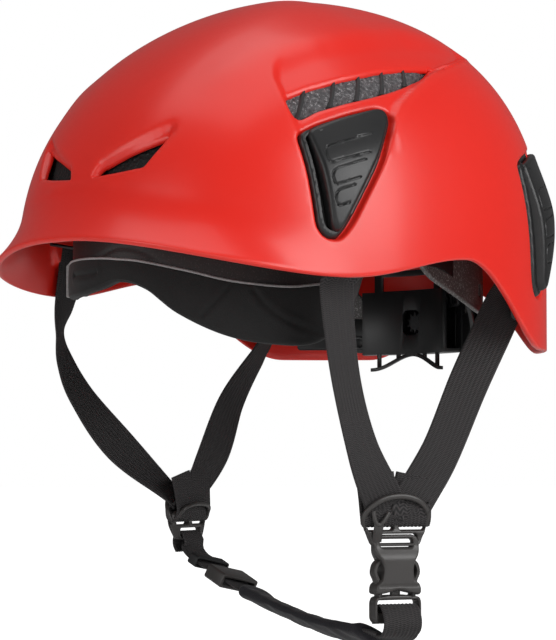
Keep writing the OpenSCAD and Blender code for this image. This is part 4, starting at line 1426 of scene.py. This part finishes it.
def build_dividers():
    def front(q):
        bars = 0.7 * np.exp(-((q[:, 1] - 7.2) / 1.6) ** 2) + 0.5 * np.exp(-((q[:, 1] + 6.0) / 1.3) ** 2)
        return 2.0 + bars + 0.5 * np.exp(-((q[:, 1] + 0.2) / 1.2) ** 2)

    base = plate(divider_field, (-18, 18, -8, 10), front, level(-2.0), 0.8, place=on_cheek(DIVIDER_Z))

    def spot(along, up, out):
        return cheek(out, along, DIVIDER_Z + up)

    hood = sweep([spot(-16.2, 3, 0.6), spot(-17.0, 8, 2.4), spot(-13, 13.2, 4.8),
                  spot(-6, 16.4, 5.6), spot(3, 17.0, 5.6), spot(11, 14.4, 5.2),
                  spot(16, 9, 3.4), spot(16.6, 3, 0.8)], 1.35, 1.1, OUT)
    back = sweep([spot(-16.2, 4, -1.2), spot(-12, 9.8, -5.4), spot(0, 11.5, -6.2), spot(12, 9.8, -5.4),
                  spot(16.4, 4, -1.2)], 1.0, 1.2, OUT)
    bow = sweep([spot(-13.5, 10.0, 4.9), spot(-12.6, 5.5, 5.0), spot(-10.4, 3.6, 4.8), spot(-8, 5.6, 5.0),
                 spot(-5.2, 9.4, 4.8)], 1.1, 0.9, OUT, count=30)
    stem = sweep([spot(-10.4, 4.0, 4.7), spot(-10.6, 0.5, 3.9), spot(-10.2, -4.5, 1.6)],
                 2.5, 0.9, OUT, count=20)
    part = joined(base, hood, back, bow, stem)
    add_pair("divider", part, BUCKLE, "root", "strap_divider")


BUCKLE_Z = -148.0


def build_buckle():
    """Side-release buckle: a waisted socket, a strap frame and two sprung arms."""
    place = on_cheek(BUCKLE_Z)
    shape = rounded(two_sided([(8.6, 29.2), (11.6, 27.6), (12.4, 24), (11.8, 20.4), (8.6, 15.5),
                               (8.0, 11.5), (8.8, 7.6), (11.6, 5.6), (12.2, 3.2), (12.0, 0.2),
                               (7.5, 0.6), (0, 2.6)]), 2.0)

    def socket(q):
        return np.maximum(polygon_distance(q, shape), -rounded_box(q, (0, 24.9), (8.4, 1.7), 1.3))

    def face(q):
        thick = 4.9 - 2.6 * smooth(17, 24, q[:, 1]) + 0.5 * np.cos(q[:, 0] / 9)
        return thick - 0.3 * np.exp(-((q[:, 1] - 4.6) / 0.45) ** 2)

    def behind(q):
        return -4.8 + 2.6 * smooth(17, 24, q[:, 1])

    part = plate(socket, (-14, 14, -1, 31), face, behind, 0.8, 0.5, place=place)
    add_piece("buckle_female", part, BUCKLE, "root", "buckle_socket", 50)
    frame_shape = rounded(two_sided([(5, 0.6), (11.6, -0.3), (12.6, -3), (12.6, -11),
                                     (11.4, -13.2)]), 1.6)

    def tongue(q):
        return np.maximum(polygon_distance(q, frame_shape), -rounded_box(q, (0, -5.0), (10.4, 2.6), 1.2))

    def tongue_face(q):
        return 3.6 + 0.7 * smooth(9.8, 11.2, np.abs(q[:, 0]))

    male = plate(tongue, (-14, 14, -15, 2), tongue_face, level(-3.8), 0.7, 0.5, place=place)
    centre = sweep([place(np.array([[0.0, y, 0.0]]))[0] for y in (-1.5, 5, 13.4)], 2.6, 1.6, OUT, count=16)
    add_piece("buckle_male", joined(male, centre), BUCKLE, "tongue", "buckle_tongue", 50)
    for side, name in ((-1, "front"), (1, "rear")):
        path = [(8.9, -1.6), (8.8, 3), (9.9, 7.6), (11.2, 10.8), (10.4, 14.4), (8.4, 16.2)]
        points = [place(np.array([[side * x, y, 0.0]]))[0] for x, y in path]
        arm = sweep(points, 1.35, 2.9, OUT, count=40)
        add_piece(f"prong_{name}_arm", arm, BUCKLE, f"prong_{name}", f"tongue_prong_{name}", 50)


def build_hangers():
    """Short tabs that hold the headband under the shell."""
    for name, inner, outer, half in (("front", (62.6, -68, 22.5), (86.5, -81, 24.5), 3.2),
                                     ("side", (76.0, -2, 21), (105.6, -2, 22.5), 3.6)):
        a, b = np.array(inner, float), np.array(outer, float)
        middle = (a + b) / 2 + np.array([0, 0, -1.2])
        tab = sweep([a, middle, b], half, 0.9, UP, count=16)
        add_pair(f"hanger_{name}", tab, CRADLE, "root", f"headband_hanger_{name}")


# Plates bent round the ring are drawn flat, with this many mm for each degree
ARM_MM_PER_DEGREE, BAND_MM_PER_DEGREE = 1.3, 1.25
SIZE_BAND_R, WHEEL_Z = 71.1, -12


def arm_radius(a):
    return 75.5 + 6.6 * smooth(-5, 46, a) - 3.4 * smooth(48, 64, a)


def on_arm(p):
    a = p[:, 0] / ARM_MM_PER_DEGREE
    turn = np.radians(a)
    r = arm_radius(a) + p[:, 2]
    return np.stack([r * np.cos(turn), BAND_Y + r * np.sin(turn), p[:, 1]], 1)


def build_arm_panels():
    """Wide speckled side arms of the rear cradle."""
    shape = rounded([(-7, 11), (0.6, 4), (14, -2), (27, -7), (38, -10.5), (61, -13), (80, -21),
                     (84, -4), (80, 3), (64, 18), (44, 30), (10, 31), (-7, 26)], 4)

    def field(q):
        lean = np.column_stack([(q[:, 1] - 9) * 0.25, np.zeros(len(q))])
        slit = rounded_box(q - lean, (56, 9), (1.1, 4.2), 1.0)
        hole = rounded_box(q, (45, 0.5), (1.3, 2.8), 1.2)
        return np.maximum(polygon_distance(q, shape), -np.minimum(slit, hole))

    def face(q):
        rib = np.exp(-((-polygon_distance(q, shape) - 1.6) / 0.8) ** 2)
        return 0.8 + 0.35 * rib

    part = plate(field, (-9, 86, -23, 33), face, level(-0.8), 1.0, 0.4, place=on_arm)
    add_pair("cradle_arm_panel", part, ARM, "cradle", None)


def on_size_band(p):
    turn = np.radians(p[:, 0] / BAND_MM_PER_DEGREE)
    r = SIZE_BAND_R + p[:, 2]
    return np.stack([r * np.cos(turn), BAND_Y + r * np.sin(turn), p[:, 1]], 1)


def build_size_bands():
    """Toothed size bands; the two overlap behind the wheel's pinion."""
    def field(q):
        body = rounded_box(q, (84, -2.05), (41, 4.0), 2.0)
        slots = [rounded_box(q, (65 + 5.5 * k, -2.0), (1.7, 1.5), 0.6) for k in range(10)]
        return np.maximum(body, -np.min(slots, axis=0))

    part = plate(field, (42, 126, -7, 3), level(0.8), level(-0.8), 0.9, 0.3, place=on_size_band)
    add_piece("size_band_left", part, CRADLE, "band_left", "ratchet_band_left", 50)
    points, faces = part
    # Turned over about the wheel's axis, so that its teeth meet the pinion from the other side
    flipped = (points - [0, 0, WHEEL_Z]) * [-1, 1, -1] + [0, 0, WHEEL_Z]
    add_piece("size_band_right", (flipped, faces), CRADLE, "band_right", "ratchet_band_right", 50)


def build_small_parts():
    plain = [
        ("rear_cradle", "rear_cradle_moulding", CRADLE, "cradle", "cradle", 0.45),
        ("adjuster_cover", "cradle_cover", CRADLE, "cradle", "cradle", 0.5),
        ("adjuster_wheel", "size_wheel", WHEEL, "wheel", "wheel", 0.45),
        ("strap_slider", "chin_slider_buckle", BUCKLE, "slider", "buckle", 0.5),
        ("strap_keeper", "keeper_loop", WHEEL, "root", "webbing", 0.3),
    ]
    for side in ("left", "right"):
        plain += [
            (f"cradle_pivot_{side}", f"pivot_pin_{side}", STEEL, "root", "metal", 0.4),
            (f"strap_anchor_front_{side}", f"anchor_front_{side}", CRADLE, "root", "metal", 0.5),
            (f"strap_anchor_rear_{side}", f"anchor_rear_{side}", CRADLE, "root", "metal", 0.5),
        ]
    for node, name, material, body, slot, width in plain:
        softened_copy(node, name, material, body, slot, width)


# ------------------------------------------------------------------ stage

def stage_material():
    n = Nodes("pale_floor")
    paper = mixed(n, (0.86, 0.86, 0.86), (0.90, 0.90, 0.90), n.noise(3.0, 2.0))
    n.link(paper, n.shader.inputs["Base Color"])
    n.set("Roughness", 0.9)
    n.set("Emission Color", (1, 1, 1, 1))
    reach = n.add("ShaderNodeVectorMath", operation="LENGTH")
    n.link(n.where(), reach.inputs[0])
    glow = n.add("ShaderNodeMapRange")
    for name, value in (("From Min", 0.3), ("From Max", 1.8), ("To Min", 0.72), ("To Max", 1.0)):
        glow.inputs[name].default_value = value
    n.link(reach.outputs["Value"], glow.inputs["Value"])
    seen = n.add("ShaderNodeLightPath").outputs["Is Camera Ray"]
    n.link(n.math("MULTIPLY", glow.outputs["Result"], seen), n.shader.inputs["Emission Strength"])
    return n.material


BUCKLE_TRAVEL, FLOOR_GAP = 0.030, 0.004             # metres
FLOOR_RINGS = (0.25, 0.5, 1.0, 2.0, 4.0, 9.0)


def build_stage():
    """Flat disc, low enough that the pulled-out buckle stays above it."""
    floor_z = cad_box[0][2] - BUCKLE_TRAVEL - FLOOR_GAP
    par, tris = polar_sheet(64, FLOOR_RINGS)
    mesh = bpy.data.meshes.new("floor")
    mesh.from_pydata(np.column_stack([par, np.full(len(par), floor_z)]).tolist(), [], tris.tolist())
    mesh.materials.append(stage_material())
    floor = bpy.data.objects.new("floor", mesh)
    bpy.context.scene.collection.objects.link(floor)


def area_light(name, place, target, size, power):
    light = bpy.data.lights.new(name, "AREA")
    light.size = size
    light.energy = power
    lamp = bpy.data.objects.new(name, light)
    lamp.location = place
    lamp.rotation_euler = (Vector(target) - Vector(place)).to_track_quat("-Z", "Y").to_euler()
    bpy.context.scene.collection.objects.link(lamp)


CAMERA_AZIMUTH, CAMERA_ELEVATION, CAMERA_DISTANCE = 47.0, -3.0, 1.3    # degrees, degrees, metres
CAMERA_SHIFT = (-0.0045, -0.0139)                                      # metres, right and up
LENS, SENSOR = 146.25, 36.0
WORLD_LIGHT, WORLD_SEEN = 0.16, 1.0


def view_axes():
    th, el = math.radians(CAMERA_AZIMUTH), math.radians(CAMERA_ELEVATION)
    back = Vector((math.sin(th) * math.cos(el), -math.cos(th) * math.cos(el), math.sin(el)))
    right = Vector((math.cos(th), math.sin(th), 0))
    return back, right, back.cross(right)


def build_camera():
    back, right, up = view_axes()
    camera = bpy.data.objects.new("camera", bpy.data.cameras.new("camera"))
    camera.data.lens = LENS
    camera.data.sensor_width = SENSOR
    camera.data.clip_end = 20
    camera.location = back * CAMERA_DISTANCE + right * CAMERA_SHIFT[0] + up * CAMERA_SHIFT[1]
    camera.rotation_euler = Matrix((right, up, back)).transposed().to_euler()
    bpy.context.scene.collection.objects.link(camera)
    bpy.context.scene.camera = camera


def build_lights():
    back, right, up = view_axes()

    def at(b, r, u):
        return back * b + right * r + Vector((0, 0, u))

    aim = (0, 0, 0.04)
    area_light("key_right", at(0.75, 1.0, 0.55), aim, 0.9, 12)
    area_light("top_soft", at(0.1, -0.1, 1.35), aim, 1.3, 7)
    area_light("front_left", at(1.0, -1.0, 0.25), aim, 0.8, 4.5)
    area_light("low_fill", at(1.2, 0.1, -0.12), (0, 0, -0.03), 0.7, 2)
    world = bpy.data.worlds.new("soft_world")
    world.use_nodes = True
    tree = world.node_tree
    seen = tree.nodes.new("ShaderNodeLightPath")
    level_by_ray = tree.nodes.new("ShaderNodeMapRange")
    level_by_ray.inputs["To Min"].default_value = WORLD_LIGHT
    level_by_ray.inputs["To Max"].default_value = WORLD_SEEN
    tree.links.new(seen.outputs["Is Camera Ray"], level_by_ray.inputs["Value"])
    tree.links.new(level_by_ray.outputs["Result"], tree.nodes["Background"].inputs["Strength"])
    tree.nodes["Background"].inputs["Color"].default_value = (1, 1, 1, 1)
    bpy.context.scene.world = world
    settings = bpy.context.scene.view_settings
    settings.view_transform = "Standard"
    settings.look = "None"


build_shell()
build_foam()
build_ribs()
build_clip(FRONT)
build_clip(REAR)
build_headband()
build_forehead_pad()
build_crown_pad()
build_straps()
build_sleeve()
build_dividers()
build_buckle()
build_hangers()
build_arm_panels()
build_size_bands()
build_small_parts()
build_stage()
build_camera()
build_lights()
